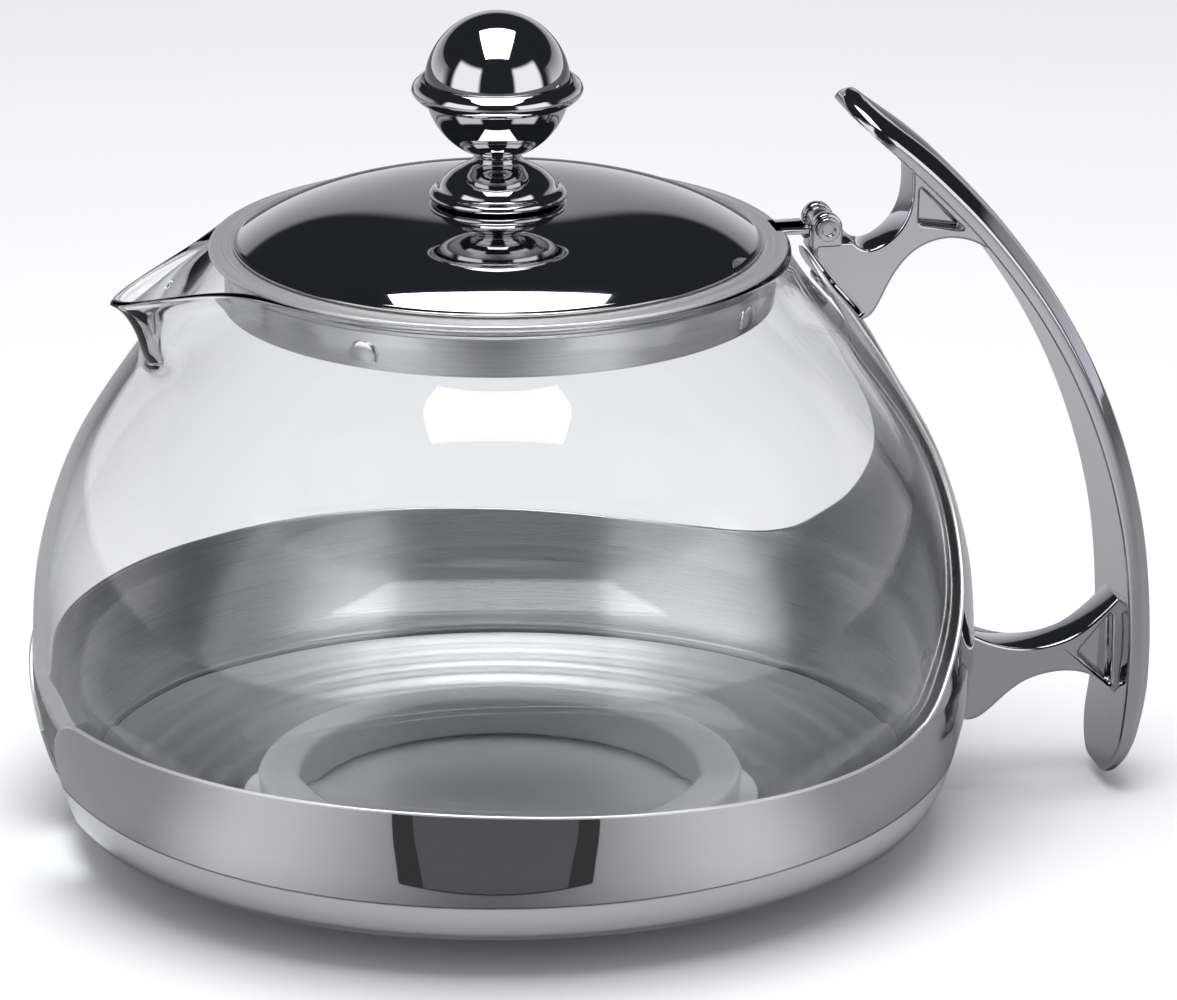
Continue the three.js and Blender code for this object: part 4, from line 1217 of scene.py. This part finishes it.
def painted_reflection_material():
    """Painted reflection: its tone follows the turn from the camera's side, alike left and right.
    """
    material, tree, shader = card_material("card_painted_reflection")
    where = node(tree, "ShaderNodeTexCoord").outputs["Object"]

    def part_along(direction):
        return node(tree, "ShaderNodeVectorMath", {0: where, 1: tuple(direction)},
                    operation="DOT_PRODUCT").outputs["Value"]

    turn = math_node(tree, "ARCTAN2", math_node(tree, "ABSOLUTE", part_along(across)),
                     math_node(tree, "MULTIPLY", part_along(forward), -1.0))
    ramp = node(tree, "ShaderNodeValToRGB", {
        "Fac": math_node(tree, "DIVIDE", turn, math.pi),
    })
    ramp.color_ramp.interpolation = "EASE"
    stops = ramp.color_ramp.elements
    for degrees, _ in PAINTED_REFLECTION_TONES[1:-1]:
        stops.new(degrees / 180)
    for stop, (degrees, tone) in zip(stops, PAINTED_REFLECTION_TONES):
        stop.position, stop.color = degrees / 180, (tone, tone, tone * 1.03, 1)
    tree.links.new(ramp.outputs["Color"], shader.inputs["Base Color"])
    return material


staged_card("card_painted_reflection", painted_reflection_ring(REFLECTION_RING_NEAR, REFLECTION_RING_FAR), painted_reflection_material())

# %% The dark frame and its middle, painted reflections
# millimetres from the pot's axis: CARD_NEAR and CARD_FAR run along forward, so minus is towards
# the camera, HALF is half the width of the middle, and BAR the width of a bar at each end
CARD_NEAR, CARD_FAR, CARD_Z = -86, -131, 0.0008
HALF_NEAR, HALF_FAR, BAR_NEAR, BAR_FAR = 16, 34, 6, 9
# painted reflection: dark bars and a grey middle that only the steel's reflections show
BAR_TONE, MIDDLE_TONE = 0.03, 0.11


def card(name, corners, tone):
    """A flat card of one tone."""
    mesh = bpy.data.meshes.new(name)
    spots = [across * x * MM + forward * y * MM + Vector((0, 0, CARD_Z)) for x, y in corners]
    mesh.from_pydata(spots, [], [(0, 1, 2, 3)])
    material, _, shader = card_material(name)
    shader.inputs["Base Color"].default_value = (tone, tone, tone * 1.05, 1)
    staged_card(name, mesh, material)


for sign in (1, -1):
    card(f"card_bar_{sign}", [
        (sign * HALF_NEAR, CARD_NEAR), (sign * (HALF_NEAR + BAR_NEAR), CARD_NEAR),
        (sign * (HALF_FAR + BAR_FAR), CARD_FAR), (sign * HALF_FAR, CARD_FAR),
    ], BAR_TONE)
card("card_middle", [
    (-HALF_NEAR, CARD_NEAR), (HALF_NEAR, CARD_NEAR), (HALF_FAR, CARD_FAR), (-HALF_FAR, CARD_FAR),
], MIDDLE_TONE)

# %% [markdown]
# ## The room
#
# The world gives two answers. Light that has bounced off nothing glossy finds an even, pale room,
# dimmer once it has landed on something matt. Light that comes from a reflection finds a studio:
# a backdrop behind the pot that is palest near the floor, a tall window at each front side, and
# dark everywhere else. Like the cards, the studio is fixed in the room.

# %% The room's limits and tones
# each pair is where a soft edge starts and ends. A TOP is in the upward part of a direction and
# BACKDROP_EDGE in the part that points away from the camera; a turn is in radians from its side
BACKDROP_TOP, BACKDROP_EDGE = (0.30, 0.34), (-0.1, 0.2)
WINDOW_START, WINDOW_END, WINDOW_TOP = (0.44, 0.56), (1.25, 1.40), (0.52, 0.62)
BACKDROP_LOW, BACKDROP_HIGH, BACKDROP_FADE = 0.86, 0.255, 0.32
BACKDROP_TINT, DARK_TONE = (0.97, 0.96, 1.05, 1), (0.022, 0.024, 0.031, 1)
WINDOW_TONE = (1.35, 1.35, 1.37, 1)
PALE_ROOM, PALE_ROOM_ON_MATT = (0.95, 0.95, 0.96, 1), (0.62, 0.62, 0.63, 1)


# %% The world
def mixed_color(tree, share, first, second, **settings):
    return node(tree, "ShaderNodeMix", {"Factor": share, 6: first, 7: second},
                data_type="RGBA", **settings).outputs[2]


def mirrored_studio(tree):
    """What a reflection finds in each direction."""
    where = node(tree, "ShaderNodeTexCoord").outputs["Generated"]
    apart = node(tree, "ShaderNodeSeparateXYZ", {"Vector": where}).outputs

    def part_along(direction):
        return math_node(tree, "ADD", math_node(tree, "MULTIPLY", apart["X"], direction.x),
                         math_node(tree, "MULTIPLY", apart["Y"], direction.y))

    def rises(value, start, end):
        return node(tree, "ShaderNodeMapRange", {
            "Value": value, "From Min": start, "From Max": end,
        }, interpolation_type="SMOOTHSTEP").outputs["Result"]

    def falls(value, start, end):
        return math_node(tree, "SUBTRACT", 1.0, rises(value, start, end))

    ahead, side = part_along(forward), part_along(across)
    behind = math_node(tree, "MULTIPLY", rises(ahead, *BACKDROP_EDGE),
                       falls(apart["Z"], *BACKDROP_TOP))
    turn = math_node(tree, "ARCTAN2", math_node(tree, "ABSOLUTE", side),
                     math_node(tree, "MULTIPLY", ahead, -1.0))
    windows = math_node(
        tree, "MULTIPLY",
        math_node(tree, "MULTIPLY", rises(turn, *WINDOW_START), falls(turn, *WINDOW_END)),
        falls(apart["Z"], *WINDOW_TOP))
    paler = node(tree, "ShaderNodeMapRange", {
        "Value": apart["Z"], "From Min": 0.0, "From Max": BACKDROP_FADE,
        "To Min": BACKDROP_LOW, "To Max": BACKDROP_HIGH,
    }).outputs["Result"]
    grey = node(tree, "ShaderNodeCombineColor", {
        "Red": paler, "Green": paler, "Blue": paler}).outputs[0]
    tinted = mixed_color(tree, 1.0, grey, BACKDROP_TINT, blend_type="MULTIPLY")
    backdrop = mixed_color(tree, behind, DARK_TONE, tinted)
    return mixed_color(tree, windows, backdrop, WINDOW_TONE)


def room():
    world = bpy.data.worlds.new("studio")
    bpy.context.scene.world = world
    world.use_nodes = True
    tree = world.node_tree
    depths = node(tree, "ShaderNodeLightPath").outputs
    pale = mixed_color(tree, math_node(tree, "MINIMUM", depths["Diffuse Depth"], 1.0),
                       PALE_ROOM, PALE_ROOM_ON_MATT)
    seen = mixed_color(tree, math_node(tree, "MINIMUM", depths["Glossy Depth"], 1.0),
                       pale, mirrored_studio(tree))
    tree.links.new(seen, tree.nodes["Background"].inputs["Color"])
    print("room made of", len(tree.nodes), "nodes")


room()
